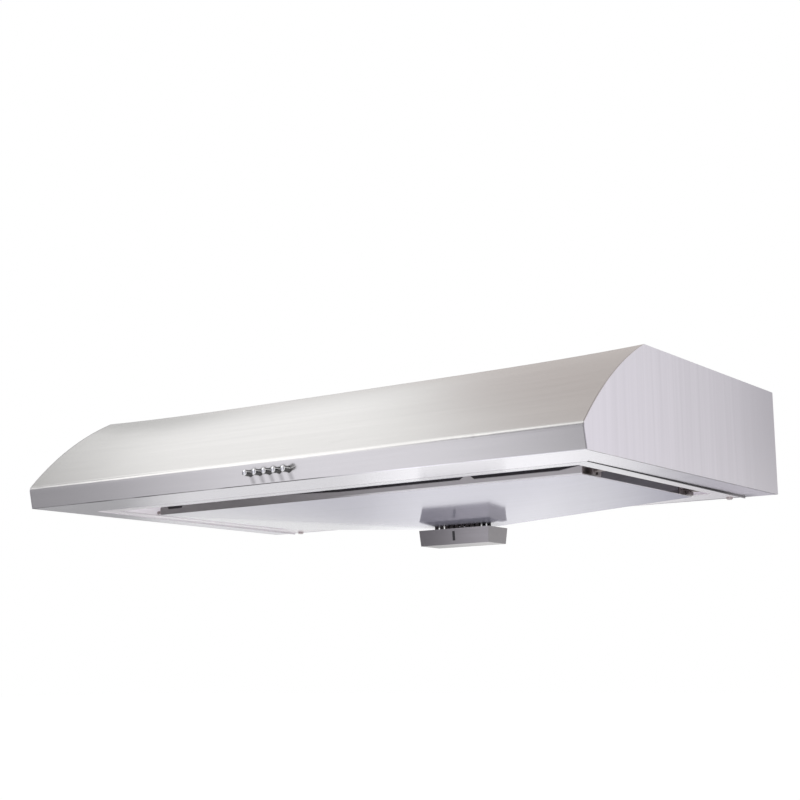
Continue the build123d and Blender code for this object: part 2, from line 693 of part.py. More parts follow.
def cup_hanger():
    """Plate that the cup's lips slide on, carried under the guard by two rows of teeth."""
    half = HANGER_PLATE_HALF
    low = HANGER_PLATE_TOP - HANGER_SHEET
    front, back = CUP_Y - HANGER_DEPTH / 2, CUP_Y + HANGER_DEPTH / 2
    hanger = block(-half, half, front, back, low, HANGER_PLATE_TOP)
    hanger -= upright(2 * DRAIN_R - HANGER_SHEET, 0, CUP_Y, low, HANGER_PLATE_TOP)
    pitch = (HANGER_WIDTH - HANGER_TOOTH) / (HANGER_TEETH - 1)
    for y in (front, back - HANGER_SHEET):
        for n in range(HANGER_TEETH):
            x = -HANGER_WIDTH / 2 + n * pitch
            tooth = block(x, x + HANGER_TOOTH, y, y + HANGER_SHEET, HANGER_PLATE_TOP, BOTTOM)
            hanger += tooth - GUARD_OUTER
    return hanger


# ---- switches ----
SWITCH_FACE = FRONT + SWITCH_SETBACK
SWITCH_HALF = 2 * BUTTON_PITCH + SWITCH_END
BRACKET_TOP = BOTTOM + 2 * SHEET
SWITCH_SCREWS = [(side * (SWITCH_HALF - 3 * SCREW_R), SWITCH_FACE + SWITCH_DEPTH / 2) for side in (-1, 1)]


def button(index):
    """Chrome cap on a stem that slides in the switch block."""
    x, z = button_x(index), BOTTOM + BUTTON_Z
    band = FRONT - BAND_LEAN * BUTTON_Z / BAND_HEIGHT
    shoulder = SWITCH_FACE - BUTTON_TRAVEL - BUTTON_ROUND
    cap = rod(BUTTON_R, (x, band - BUTTON_OUT, z), (x, shoulder, z))
    cap = fillet(cap.edges().group_by(Axis.Y)[0], BUTTON_ROUND)
    return cap + rod(STEM_R, (x, shoulder, z), (x, SWITCH_FACE + STEM_DEPTH, z))


def switch_body():
    """Five-way push switch block behind the band."""
    rear, high = SWITCH_FACE + SWITCH_DEPTH, BRACKET_TOP + SWITCH_HEIGHT
    body = block(-SWITCH_HALF, SWITCH_HALF, SWITCH_FACE, rear, BRACKET_TOP, high)
    reach = SWITCH_FACE + STEM_DEPTH + BUTTON_TRAVEL + BUTTON_ROUND
    for index in range(5):
        x, z = button_x(index), BOTTOM + BUTTON_Z
        body -= rod(STEM_R + STEM_FIT, (x, SWITCH_FACE, z), (x, reach, z))
    for x, y in SWITCH_SCREWS:
        body -= upright(SCREW_R, x, y, BRACKET_TOP, BRACKET_TOP + 3 * SCREW_R)
    return body


def switch_bracket():
    """Folded bracket on the bottom frame, under and behind the switch block."""
    half = SWITCH_HALF + FLANGE / 2
    rear = SWITCH_FACE + SWITCH_DEPTH
    bracket = block(-half, half, SWITCH_FACE, rear + SHEET, BOTTOM + SHEET, BRACKET_TOP)
    bracket += block(-half, half, rear, rear + SHEET, BRACKET_TOP, BRACKET_TOP + SWITCH_HEIGHT * 0.7)
    for x, y in SWITCH_SCREWS:
        bracket -= upright(SCREW_R, x, y, BOTTOM + SHEET, BRACKET_TOP)
    return bracket


def switch_screws():
    """Screws up through the bracket into the switch block, with no head outside the hood."""
    high = BRACKET_TOP + 3 * SCREW_R
    return grouped([upright(SCREW_R, x, y, BOTTOM + SHEET, high) for x, y in SWITCH_SCREWS])


# ---- blowers: the right-hand one is drawn, the left-hand one is its mirror image ----
AXIS = (BLOWER_X, BLOWER_Y)
TONGUE_Y = SCROLL_START * sin(radians(SCROLL_TONGUE))


def scroll_radius(angle):
    grow = (angle - SCROLL_TONGUE) / SCROLL_SPAN
    return SCROLL_START + (SCROLL_END - SCROLL_START) * grow


def scroll_area(extra):
    """Plan of the scroll and its outlet neck, grown outwards by extra."""
    steps = 10
    points = []
    for n in range(steps + 1):
        angle = SCROLL_TONGUE + SCROLL_SPAN * n / steps
        reach = scroll_radius(angle) + extra
        points.append((reach * cos(radians(angle)), reach * sin(radians(angle))))
    spiral = make_face([Spline(*points), Line(points[-1], points[0])])
    low, high = TONGUE_Y - extra, SCROLL_END + extra
    neck = Pos(-OUTLET_NECK / 2, (low + high) / 2) * Rectangle(OUTLET_NECK, high - low)
    return spiral + neck


def scroll_solid(extra, z0, z1):
    area = Pos(AXIS[0], AXIS[1], z0) * scroll_area(extra)
    return extrude(area, amount=z1 - z0, dir=(0, 0, 1))


def bolt_place(side, angle):
    """Place of a bolt in the foot flange, beside the scroll wall at this angle."""
    reach = scroll_radius(angle) + SHEET + HOUSING_FOOT / 2
    return side * (AXIS[0] + reach * cos(radians(angle))), AXIS[1] + reach * sin(radians(angle))


BLOWER_BOLTS = [bolt_place(side, angle) for side in (-1, 1) for angle in BLOWER_BOLT_ANGLES]


def blower_housing():
    """Scroll wall, floor with a rolled inlet lip, and a foot flange bolted to the liner's roof."""
    floor = TRAY_ROOF + SHEET
    housing = scroll_solid(SHEET, TRAY_ROOF, COVER_Z) - scroll_solid(0, floor, COVER_Z)
    housing += scroll_solid(SHEET + HOUSING_FOOT, TRAY_ROOF, floor)
    housing += upright(INLET_R + SHEET, *AXIS, floor, floor + INLET_LIP)
    housing -= upright(INLET_R, *AXIS, TRAY_ROOF, floor + INLET_LIP)
    for x, y in BLOWER_BOLTS:
        housing -= upright(SCREW_R, x, y, TRAY_ROOF, floor)
    return housing


MOTOR_SCREWS = [(AXIS[0] + dx, AXIS[1] + dy) for dx, dy in around(3, (MOTOR_R + MOTOR_FLANGE_R) / 2, 30)]


def blower_cover():
    """Lid of the scroll, which carries the motor."""
    cover = scroll_solid(SHEET, COVER_Z, COVER_Z + SHEET)
    cover -= upright(MOTOR_R + MOTOR_FIT, *AXIS, COVER_Z, COVER_Z + SHEET)
    for x, y in MOTOR_SCREWS:
        cover -= upright(SCREW_R / 2, x, y, COVER_Z, COVER_Z + SHEET)
    return cover


def motor():
    """Motor body hanging into the impeller, with its flange on the cover and a cap above."""
    seat = COVER_Z + SHEET
    body = upright(MOTOR_R, *AXIS, COVER_Z - MOTOR_DROP, seat)
    body = fillet(body.edges().group_by(Axis.Z)[0], MOTOR_BOSS)
    body += upright(MOTOR_FLANGE_R, *AXIS, seat, seat + MOTOR_FLANGE)
    cap = upright(MOTOR_R - MOTOR_BOSS, *AXIS, seat + MOTOR_FLANGE, seat + MOTOR_FLANGE + MOTOR_CAP)
    body += fillet(cap.edges().group_by(Axis.Z)[-1], MOTOR_BOSS)
    low = COVER_Z - MOTOR_DROP - MOTOR_BOSS
    body += upright(HUB_R, *AXIS, low, COVER_Z - MOTOR_DROP)
    body -= upright(SHAFT_R + SHAFT_FIT, *AXIS, low, low + MOTOR_GRIP + MOTOR_BOSS)
    for x, y in MOTOR_SCREWS:
        body -= upright(SCREW_R / 2, x, y, seat, seat + MOTOR_FLANGE)
    return body


def motor_screws():
    """Three small screws through each motor's flange."""
    seat = COVER_Z + SHEET + MOTOR_FLANGE
    screws = []
    for x, y in MOTOR_SCREWS:
        screw = upright(SCREW_R / 2, x, y, COVER_Z - SCREW_HEAD, seat)
        screws += both_sides(screw + upright(SCREW_R, x, y, seat, seat + SCREW_HEAD))
    return grouped(screws)


IMPELLER_LOW = TRAY_ROOF + SHEET + IMPELLER_GAP
IMPELLER_HIGH = COVER_Z - IMPELLER_TOP_GAP
HUB_DISC_Z = IMPELLER_LOW + HUB_DISC_UP
HUB_LOW = HUB_DISC_Z - HUB_LENGTH / 2


def motor_shaft():
    """Shaft from the hub up into the motor."""
    return upright(SHAFT_R, *AXIS, HUB_LOW, COVER_Z - MOTOR_DROP - MOTOR_BOSS + MOTOR_GRIP)


def impeller():
    """Squirrel-cage wheel: forward-curved blades between two rings, on a spoked hub disc."""
    inner = IMPELLER_R - BLADE_DEPTH
    centre = Pos(AXIS[0], AXIS[1], 0)
    wheel = tube(IMPELLER_R, inner, (0, 0, IMPELLER_LOW), (0, 0, IMPELLER_LOW + RING))
    wheel += tube(IMPELLER_R, inner, (0, 0, IMPELLER_HIGH - RING), (0, 0, IMPELLER_HIGH))
    disc = upright(IMPELLER_R - RING, 0, 0, HUB_DISC_Z, HUB_DISC_Z + RING)
    for x, y in around(HUB_WINDOWS, (HUB_R + inner) / 2):
        disc -= upright(HUB_WINDOW_R, x, y, HUB_DISC_Z, HUB_DISC_Z + RING)
    wheel += disc + upright(HUB_R, 0, 0, HUB_LOW, HUB_LOW + HUB_LENGTH)
    lean = BLADE_DEPTH / 2
    middle = ((inner + IMPELLER_R) / 2, -lean * BLADE_CAMBER)
    curve = ThreePointArc((inner + BLADE_SHEET, -lean), middle, (IMPELLER_R - BLADE_SHEET, lean))
    blade = extrude(SlotArc(curve, BLADE_SHEET), amount=IMPELLER_HIGH - IMPELLER_LOW - RING, dir=(0, 0, 1))
    blade = Pos(0, 0, IMPELLER_LOW + RING / 2) * blade
    wheel += [Rot(0, 0, 360 * n / BLADE_COUNT) * blade for n in range(BLADE_COUNT)]
    wheel -= upright(SHAFT_R, 0, 0, HUB_LOW, HUB_LOW + HUB_LENGTH)
    return centre * wheel


def inlet_grille():
    """Finger guard under the inlet: rim, rings and spokes."""
    high = TRAY_ROOF - SHEET
    low = high - GRILLE_BAR
    grille = tube(GRILLE_R, INLET_R, (*AXIS, low), (*AXIS, high))
    for n in range(1, GRILLE_RINGS + 1):
        radius = INLET_R * n / (GRILLE_RINGS + 1)
        grille += tube(radius + GRILLE_BAR / 2, radius - GRILLE_BAR / 2, (*AXIS, low), (*AXIS, high))
    for n in range(GRILLE_SPOKES // 2):
        reach = INLET_R + GRILLE_BAR
        spoke = block(-reach, reach, -GRILLE_BAR / 2, GRILLE_BAR / 2, low, high)
        grille += Pos(*AXIS, 0) * (Rot(0, 0, 360 * n / GRILLE_SPOKES) * spoke)
    for dx, dy in GRILLE_SCREWS:
        grille -= upright(RIVET_R, AXIS[0] + dx, AXIS[1] + dy, low, high)
    return grille


def grille_screws():
    """Three small screws up through each grille's rim into the liner's roof."""
    low = TRAY_ROOF - SHEET - GRILLE_BAR
    screws = []
    for dx, dy in GRILLE_SCREWS:
        x, y = AXIS[0] + dx, AXIS[1] + dy
        head = upright(RIVET_HEAD_R, x, y, low - RIVET_HEAD, low)
        screws += both_sides(upright(RIVET_R, x, y, low, TRAY_ROOF) + head)
    return grouped(screws)


def blower_bolts():
    """Bolts down through the housings' feet into the liner's roof."""
    seat = TRAY_ROOF + SHEET
    bolts = []
    for x, y in BLOWER_BOLTS:
        head = Pos(x, y, seat) * extrude(RegularPolygon(SCREW_HEAD_R, 6), amount=SCREW_HEAD)
        bolts.append(head + upright(SCREW_R, x, y, TRAY_ROOF - SHEET - SCREW_HEAD, seat))
    return grouped(bolts)


# ---- collector, collar and damper ----
def collector_box():
    """Box between the two outlets, open to the duct collar above."""
    outer = (COLLECTOR / 2, DUCT_Y - COLLECTOR_FRONT, DUCT_Y + COLLECTOR_BACK)
    half, high = outer[0], -SHEET
    box = slab(outer, TRAY_ROOF, high)
    box -= slab(shrink(outer, SHEET), TRAY_ROOF + SHEET, high - SHEET)
    box -= upright(DUCT_R, 0, DUCT_Y, high - SHEET, high)
    y0, y1 = BLOWER_Y + TONGUE_Y, BLOWER_Y + SCROLL_END
    return box - block(-half, half, y0, y1, TRAY_ROOF + SHEET, COVER_Z)


COLLAR_SCREWS = [(dx, DUCT_Y + dy) for dx, dy in around(4, COLLAR_R + COLLAR_FLANGE / 2, 45)]
DAMPER_AXIS_Z = DAMPER_RISE


def duct_collar():
    """Round collar for the duct, with a screwed flange, damper stops and holes for the damper rod."""
    collar = tube(COLLAR_R, DUCT_R, (0, DUCT_Y, 0), (0, DUCT_Y, COLLAR_HEIGHT))
    collar += tube(COLLAR_R + COLLAR_FLANGE, DUCT_R, (0, DUCT_Y, 0), (0, DUCT_Y, SHEET))
    top = DAMPER_AXIS_Z - DAMPER_SHEET / 2 - HANGER_FIT
    near, far = DUCT_R - DAMPER_STOP, DUCT_R + SHEET / 2
    for n in range(4):
        stop = block(near, far, -DAMPER_STOP, DAMPER_STOP, top - DAMPER_STOP / 2, top)
        collar += Pos(0, DUCT_Y, 0) * (Rot(0, 0, 45 + 90 * n) * stop)
    for x, y in COLLAR_SCREWS:
        collar -= upright(SCREW_R, x, y, 0, SHEET)
    return collar - damper_rod()


def damper_rod():
    """Rod across the collar that both leaves hang on."""
    reach = COLLAR_R - DAMPER_ROD_SHORT
    return rod(DAMPER_ROD_R, (-reach, DUCT_Y, DAMPER_AXIS_Z), (reach, DUCT_Y, DAMPER_AXIS_Z))


def damper_flap(side, knuckles):
    """Half-round leaf on one side of the rod, with knuckles around it."""
    low, high = DAMPER_AXIS_Z - DAMPER_SHEET / 2, DAMPER_AXIS_Z + DAMPER_SHEET / 2
    near = DAMPER_KNUCKLE_R + HANGER_FIT
    leaf = upright(DUCT_R - DAMPER_GAP, 0, DUCT_Y, low, high)
    y0, y1 = sorted((DUCT_Y + side * near, DUCT_Y + side * COLLAR_R))
    leaf &= block(-COLLAR_R, COLLAR_R, y0, y1, low, high)
    for x in knuckles:
        x0, x1 = x - DAMPER_KNUCKLE / 2, x + DAMPER_KNUCKLE / 2
        y0, y1 = sorted((DUCT_Y, DUCT_Y + side * (near + DAMPER_STOP)))
        leaf += block(x0, x1, y0, y1, low, high)
        leaf += rod(DAMPER_KNUCKLE_R, (x0, DUCT_Y, DAMPER_AXIS_Z), (x1, DUCT_Y, DAMPER_AXIS_Z))
    bore = DAMPER_ROD_R + DAMPER_FIT
    return leaf - rod(bore, (-COLLAR_R, DUCT_Y, DAMPER_AXIS_Z), (COLLAR_R, DUCT_Y, DAMPER_AXIS_Z))


def collar_screws():
    """Pan-head screws down through the collar's flange into the collector."""
    screws = []
    for x, y in COLLAR_SCREWS:
        head = upright(SCREW_HEAD_R, x, y, SHEET, SHEET + SCREW_HEAD)
        screws.append(upright(SCREW_R, x, y, -2 * SHEET, SHEET) + head)
    return grouped(screws)


def collar_drilled(plate):
    """A sheet under the collar's flange with the flange's screw holes."""
    for x, y in COLLAR_SCREWS:
        plate -= upright(SCREW_R, x, y, -2 * SHEET, 0)
    return plate


# ---- lamps ----
def lamp_housing():
    """Round can in the liner's roof, with a bezel below it."""
    x, y = LAMP_X, LAMP_Y
    seat = TRAY_ROOF - SHEET
    can = upright(LAMP_R, x, y, seat, seat + LAMP_HEIGHT)
    can += upright(LAMP_BEZEL_R, x, y, seat - LAMP_BEZEL, seat)
    return can - upright(LAMP_R - LAMP_WALL, x, y, seat - LAMP_BEZEL, seat + LAMP_HEIGHT - LAMP_WALL)


def lamp_lens():
    """Glass disc set in the lamp's mouth."""
    seat = TRAY_ROOF - SHEET
    return upright(LAMP_R - LAMP_WALL, LAMP_X, LAMP_Y, seat - LAMP_BEZEL / 2, seat + LENS)


# ---- electrics ----
BOX_X = -INNER_HALF + BOX_SIDE
BOX_Z = TRAY_ROOF + BOX_UP
BOX_REAR = BACK - SHEET
BUSH_PLACE = (BOX_X + BOX_WIDTH / 2, BOX_Z + BOX_HEIGHT / 2)


def terminal_box():
    """Box on the back panel for the mains connection, open to the front."""
    front = BOX_REAR - BOX_DEPTH
    box = block(BOX_X, BOX_X + BOX_WIDTH, front, BOX_REAR, BOX_Z, BOX_Z + BOX_HEIGHT)
    x0, x1 = BOX_X + SHEET, BOX_X + BOX_WIDTH - SHEET
    box -= block(x0, x1, front, BOX_REAR - SHEET, BOX_Z + SHEET, BOX_Z + BOX_HEIGHT - SHEET)
    x, z = BUSH_PLACE
    return box - rod(BUSH_R, (x, BOX_REAR - SHEET, z), (x, BOX_REAR, z))


def terminal_cover():
    """Lid of the terminal box."""
    front = BOX_REAR - BOX_DEPTH
    return block(BOX_X, BOX_X + BOX_WIDTH, front - SHEET, front, BOX_Z, BOX_Z + BOX_HEIGHT)


def terminal_block():
    """Three-way screw terminal on the box's floor."""
    x = BOX_X + BOX_WIDTH / 2
    half = TERMINAL_WAYS * TERMINAL_PITCH / 2
    y = BOX_REAR - BOX_DEPTH / 2
    low = BOX_Z + SHEET
    y0, y1 = y - TERMINAL_DEPTH / 2, y + TERMINAL_DEPTH / 2
    body = block(x - half, x + half, y0, y1, low, low + TERMINAL_HEIGHT)
    for n in range(TERMINAL_WAYS):
        way = x - half + TERMINAL_PITCH * (n + 0.5)
        body -= upright(TERMINAL_PITCH / 4, way, y, low + TERMINAL_HEIGHT / 2, low + TERMINAL_HEIGHT)
    return body


def cable_bush():
    """Rubber bush in the cable inlet, flush with the back."""
    x, z = BUSH_PLACE
    seat = BOX_REAR - SHEET
    bush = rod(BUSH_R, (x, seat, z), (x, BACK, z))
    bush += rod(BUSH_FLANGE_R, (x, seat - BUSH_FLANGE, z), (x, seat, z))
    return bush - rod(BUSH_BORE_R, (x, seat - BUSH_FLANGE, z), (x, BACK, z))


CAPACITOR_X = TRAY[0] - CAPACITOR_SIDE
CAPACITOR_Y = TRAY[1] + CAPACITOR_FRONT + CAPACITOR_LENGTH / 2
CAPACITOR_Z = TRAY_ROOF + CAPACITOR_R


def capacitor():
    """Motor run capacitor, lying on the liner's roof."""
    half = CAPACITOR_LENGTH / 2
    y0, y1 = CAPACITOR_Y - half, CAPACITOR_Y + half
    can = rod(CAPACITOR_R, (CAPACITOR_X, y0, CAPACITOR_Z), (CAPACITOR_X, y1, CAPACITOR_Z))
    return fillet(can.edges().group_by(Axis.Y)[-1], CAPACITOR_R / 5)


def capacitor_straps():
    """Strap over each capacitor, with two feet on the liner's roof."""
    half = STRAP_WIDTH / 2
    y0, y1 = CAPACITOR_Y - half, CAPACITOR_Y + half
    outer = CAPACITOR_R + SHEET
    strap = rod(outer, (CAPACITOR_X, y0, CAPACITOR_Z), (CAPACITOR_X, y1, CAPACITOR_Z))
    strap += block(CAPACITOR_X - outer, CAPACITOR_X + outer, y0, y1, TRAY_ROOF, CAPACITOR_Z)
    reach = outer + STRAP_FOOT
    strap += block(CAPACITOR_X - reach, CAPACITOR_X + reach, y0, y1, TRAY_ROOF, TRAY_ROOF + SHEET)
    strap &= block(CAPACITOR_X - reach, CAPACITOR_X + reach, y0, y1, TRAY_ROOF, 0)
    strap -= rod(CAPACITOR_R, (CAPACITOR_X, y0, CAPACITOR_Z), (CAPACITOR_X, y1, CAPACITOR_Z))
    x0, x1 = CAPACITOR_X - CAPACITOR_R, CAPACITOR_X + CAPACITOR_R
    strap -= block(x0, x1, y0, y1, TRAY_ROOF, CAPACITOR_Z)
    return grouped(both_sides(strap))


# ---- the pieces ----
def mirrored(shape):
    return mirror(shape, Plane.YZ)


PIECES = {
    "front_panel": drilled(front_panel()),
    "side_panel_left": drilled(mirrored(side_panel())),
    "side_panel_right": drilled(side_panel()),
    "top_panel": collar_drilled(drilled(top_panel())),
    "back_panel": drilled(back_panel()),
    "shell_rivets": shell_rivets(),
    "bottom_frame": bottom_frame(),
    "liner_tray": liner_tray(),
    "liner_roof": liner_roof(),
    "liner_thumbscrews": liner_thumbscrews(),
    "oil_guard_panel": oil_guard_panel(),
    "guard_clip_left": mirrored(guard_clip()),
    "guard_clip_right": guard_clip(),
    "guard_hinge_left": mirrored(guard_hinge()),
    "guard_hinge_right": guard_hinge(),
    "guard_rivets": guard_rivets(),
    "guard_pins": guard_pins(),
    "cup_hanger": cup_hanger(),
    "oil_cup": oil_cup(),
    "cup_window": cup_window(),
    "switch_body": switch_body(),
    "switch_bracket": switch_bracket(),
    "switch_screws": switch_screws(),
    "motor_screws": motor_screws(),
    "grille_screws": grille_screws(),
    "blower_bolts": blower_bolts(),
    "collector_box": collar_drilled(collector_box()),
    "duct_collar": duct_collar(),
    "collar_screws": collar_screws(),
    "damper_rod": damper_rod(),
    "damper_flap_front": damper_flap(-1, (-45, 45)),
    "damper_flap_rear": damper_flap(1, (-20, 20)),
    "terminal_box": terminal_box(),
    "terminal_cover": terminal_cover(),
    "terminal_block": terminal_block(),
    "cable_bush": cable_bush(),
    "capacitor_straps": capacitor_straps(),
}
for index, use in enumerate(("off", "low", "medium", "high", "light")):
    PIECES[f"button_{use}"] = button(index)
for name, shape in (
    ("blower_housing", blower_housing()),
    ("blower_cover", blower_cover()),
    ("impeller", impeller()),
    ("motor", motor()),
    ("motor_shaft", motor_shaft()),
    ("inlet_grille", inlet_grille()),
    ("lamp_housing", lamp_housing()),
    ("lamp_lens", lamp_lens()),
    ("capacitor", capacitor()),
):
    PIECES[f"{name}_right"] = shape
    PIECES[f"{name}_left"] = mirrored(shape)

for node, piece in PIECES.items():
    export_step(piece, f"parts/{node}.step")
print(len(PIECES), "nodes")
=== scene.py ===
"""Looks of an under-cabinet range hood: brushed and polished stainless sheet, chrome buttons and works.

Laid out as a Blender add-on and run as a script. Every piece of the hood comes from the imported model, in
metres, with +X to the right as seen from the front, +Y to the wall and +Z up.
"""

from functools import cache, partial
from math import cos, radians, sin

import bmesh
import bpy
from bpy.props import FloatProperty, FloatVectorProperty, PointerProperty
from bpy.types import NodeSocket, Operator, Panel, PropertyGroup
from mathutils import Matrix, Vector


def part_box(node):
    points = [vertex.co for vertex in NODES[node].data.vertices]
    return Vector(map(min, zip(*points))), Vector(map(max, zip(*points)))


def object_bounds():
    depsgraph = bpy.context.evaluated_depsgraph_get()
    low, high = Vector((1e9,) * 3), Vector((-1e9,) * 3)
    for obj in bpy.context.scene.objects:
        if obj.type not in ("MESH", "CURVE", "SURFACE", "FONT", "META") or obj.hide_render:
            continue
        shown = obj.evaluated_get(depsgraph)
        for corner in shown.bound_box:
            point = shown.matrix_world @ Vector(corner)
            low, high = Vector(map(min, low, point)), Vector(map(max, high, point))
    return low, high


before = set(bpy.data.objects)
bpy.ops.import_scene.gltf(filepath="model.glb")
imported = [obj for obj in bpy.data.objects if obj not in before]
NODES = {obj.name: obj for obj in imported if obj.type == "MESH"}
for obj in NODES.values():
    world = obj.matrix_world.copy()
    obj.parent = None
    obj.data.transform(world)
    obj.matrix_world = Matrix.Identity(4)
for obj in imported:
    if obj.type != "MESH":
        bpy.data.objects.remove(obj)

bl_info = {
    "name": "Range hood",
    "version": (1, 0, 0),
    "blender": (4, 5, 0),
    "location": "View3D > Sidebar > Range hood",
    "description": "Finishes an under-cabinet range hood and sets it in a plain studio",
    "category": "Object",
}

CAD_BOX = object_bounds()

# ---- the hood's pieces, by finish ----
SHELL_FRONT = ("front_panel",)
SHELL_ENDS = ("side_panel_left", "side_panel_right", "back_panel")
SHELL_TOP = ("top_panel",)
UNDERSIDE = ("bottom_frame",)
LINER = ("liner_tray", "liner_roof")
GUARD = ("oil_guard_panel",)
GUARD_FITTINGS = ("guard_clip_left", "guard_clip_right", "guard_hinge_left", "guard_hinge_right")
CUP = ("oil_cup",)
HANGER = ("cup_hanger",)
THUMBSCREWS = ("liner_thumbscrews",)
RUBBER = ("cable_bush",)
BUTTONS = ("button_off", "button_low", "button_medium", "button_high", "button_light")
GALVANISED = (
    "switch_bracket",
    "blower_housing_left",
    "blower_housing_right",
    "blower_cover_left",
    "blower_cover_right",
    "collector_box",
    "duct_collar",
    "terminal_box",
    "terminal_cover",
    "capacitor_straps",
    "damper_flap_front",
    "damper_flap_rear",
)
ZINC = (
    "switch_screws",
    "motor_screws",
    "grille_screws",
    "blower_bolts",
    "collar_screws",
    "damper_rod",
    "motor_shaft_left",
    "motor_shaft_right",
)
RIVETS = ("shell_rivets", "guard_rivets", "guard_pins")
BLACK_PLASTIC = ("switch_body", "cup_window", "terminal_block", "inlet_grille_left", "inlet_grille_right")
IMPELLERS = ("impeller_left", "impeller_right")
MOTORS = ("motor_left", "motor_right")
CAPACITORS = ("capacitor_left", "capacitor_right")
LAMP_CANS = ("lamp_housing_left", "lamp_housing_right")
LAMP_GLASS = ("lamp_lens_left", "lamp_lens_right")


# ---- settings ----
def colour(name, description, default):
    """A colour from black to white."""
    return FloatVectorProperty(
        name=name, description=description, subtype="COLOR", size=3, min=0, max=1, default=default
    )


def length(name, description, default, least=0):
    """A length in metres."""
    return FloatProperty(name=name, description=description, unit="LENGTH", default=default, min=least)


def angle(name, description, degrees):
    """An angle, with its default in degrees."""
    return FloatProperty(name=name, description=description, subtype="ANGLE", default=radians(degrees))


def power(name, description, watts):
    """A lamp's power."""
    return FloatProperty(name=name, description=description, unit="POWER", default=watts, min=0)


class HoodSteel(PropertyGroup):
    """Colours and finish of the stainless sheet."""

    shell: colour("Shell", "Brushed steel of the canopy", (0.61, 0.60, 0.59))
    ends: colour("Ends", "Brushed steel of the side and back panels", (0.63, 0.605, 0.635))
    polished: colour("Polished", "Polished steel of the frame", (0.665, 0.645, 0.70))
    # painted light on the frame towards its rear right corner
    frame_end: colour("Frame painted light", "Painted light on the polished frame at its rear right corner", (0.83125, 0.774, 0.854))
    cup: colour("Cup", "Satin steel of the oil cup", (0.355, 0.34, 0.345))
    liner: colour("Liner", "Bright steel of the liner", (0.71, 0.70, 0.75))
    # painted light on both ends of the liner
    liner_painted_light: colour("Liner painted light", "Painted light on the liner at both ends", (0.98, 0.94, 0.978))
    inside: colour("Inside", "Bright steel inside the liner", (0.88, 0.87, 0.89))
    guard: colour("Guard", "Polished steel of the oil guard", (0.46, 0.449, 0.552))
    # painted light on the oil guard towards its left end
    guard_painted_light: colour("Guard painted light", "Painted light on the oil guard at its left end", (0.72, 0.71, 0.77))
    rim: colour("Rim", "Satin steel of the guard's rim at its right end", (0.50, 0.478, 0.494))
    # painted shade on the guard's flanges: towards the left end of the front one, and nearly black on the
    # side ones
    rim_painted_shade: colour("Rim painted shade", "Painted shade on the guard's rim at its left end", (0.165, 0.157, 0.158))
    rim_side_painted_shade: colour("Rim side painted shade", "Painted shade on the ends of the guard's rim", (0.056, 0.053, 0.059))
    # painted highlight on the folded edges of the guard, frame and canopy
    hem: colour("Hem", "Painted highlight on the folded edge of the guard and frame", (0.92, 0.91, 0.94))
    hanger: colour("Hanger", "Dark steel of the cup's hanger", (0.035, 0.03, 0.03))
    gap: colour("Gap", "Shade inside the seams", (0.02, 0.018, 0.022))
    chrome: colour("Chrome", "Faces of the push buttons", (0.66, 0.66, 0.68))
    # painted shade on the button barrels
    barrel: colour("Barrel", "Painted shade on the barrels of the push buttons", (0.10, 0.10, 0.105))
    spring: colour("Spring steel", "Bare steel of clips and hinges", (0.24, 0.215, 0.215))
    seam: length("Seam", "Width of the dark line in a seam", 0.0012)
    line_width: length("Line width", "Width of a brush line", 0.0007, least=0.0001)
    line_length: length("Line length", "Length of a brush line", 0.12, least=0.001)


class HoodParts(PropertyGroup):
    """Colours of the other finishes."""

    galvanised: colour("Galvanised", "Galvanised sheet", (0.56, 0.58, 0.60))
    plastic: colour("Black plastic", "Moulded black plastic", (0.018, 0.018, 0.019))
    zinc: colour("Zinc", "Zinc-plated screws and shafts", (0.62, 0.62, 0.60))
    alloy: colour("Alloy", "Bare alloy of the fan wheels and lamp cans", (0.55, 0.56, 0.58))
    glass: colour("Glass", "Frosted glass of the lamps", (0.9, 0.92, 0.93))
    rubber: colour("Rubber", "Cable bush", (0.022, 0.022, 0.022))
    enamel: colour("Enamel", "Black enamel of the motors", (0.030, 0.030, 0.034))
    capacitor: colour("Capacitor", "Plain plastic can", (0.74, 0.74, 0.71))


class HoodStage(PropertyGroup):
    """Camera, floor and lights."""

    camera_place: FloatVectorProperty(
        name="Camera place",
        description="Where the camera stands",
        subtype="TRANSLATION",
        unit="LENGTH",
        default=(1.216, -1.744, -0.380),
    )
    heading: angle("Heading", "Camera's turn from +Y towards -X", 35.91)
    pitch: angle("Pitch", "Camera's tilt upwards", 10.51)
    roll: angle("Roll", "Camera's roll about its view", -0.52)
    lens: FloatProperty(
        name="Lens", description="Focal length in millimetres", unit="CAMERA", default=66.15, min=10
    )
    floor_drop: length("Floor drop", "Floor below the hood", 0.9)
    ambient: FloatProperty(
        name="Ambient", description="Strength of the room's own light", default=0.7, min=0
    )
    key_power: power("Key lamp", "Power of the soft lamp at the front left", 14)
    inner_power: power("Inner glow", "Power of the glow under the liner's roof", 0.6)


# ---- node helpers ----
def give(tree, socket, value):
    """Feeds an input from another socket, or sets it to a plain number, vector or colour."""
    if isinstance(value, NodeSocket):
        tree.links.new(value, socket)
    else:
        socket.default_value = (*value, 1) if socket.type == "RGBA" else value


def add(tree, kind, inputs=None, **settings):
    """A node of that kind, with its settings by name and its inputs by label or number."""
    made = tree.nodes.new(kind)
    for name, value in settings.items():
        setattr(made, name, value)
    for label, value in (inputs or {}).items():
        give(tree, made.inputs[label], value)
    return made


def calc(tree, operation, *values):
    """The result of a Math node fed with numbers or sockets."""
    return add(tree, "ShaderNodeMath", dict(enumerate(values)), operation=operation).outputs[0]


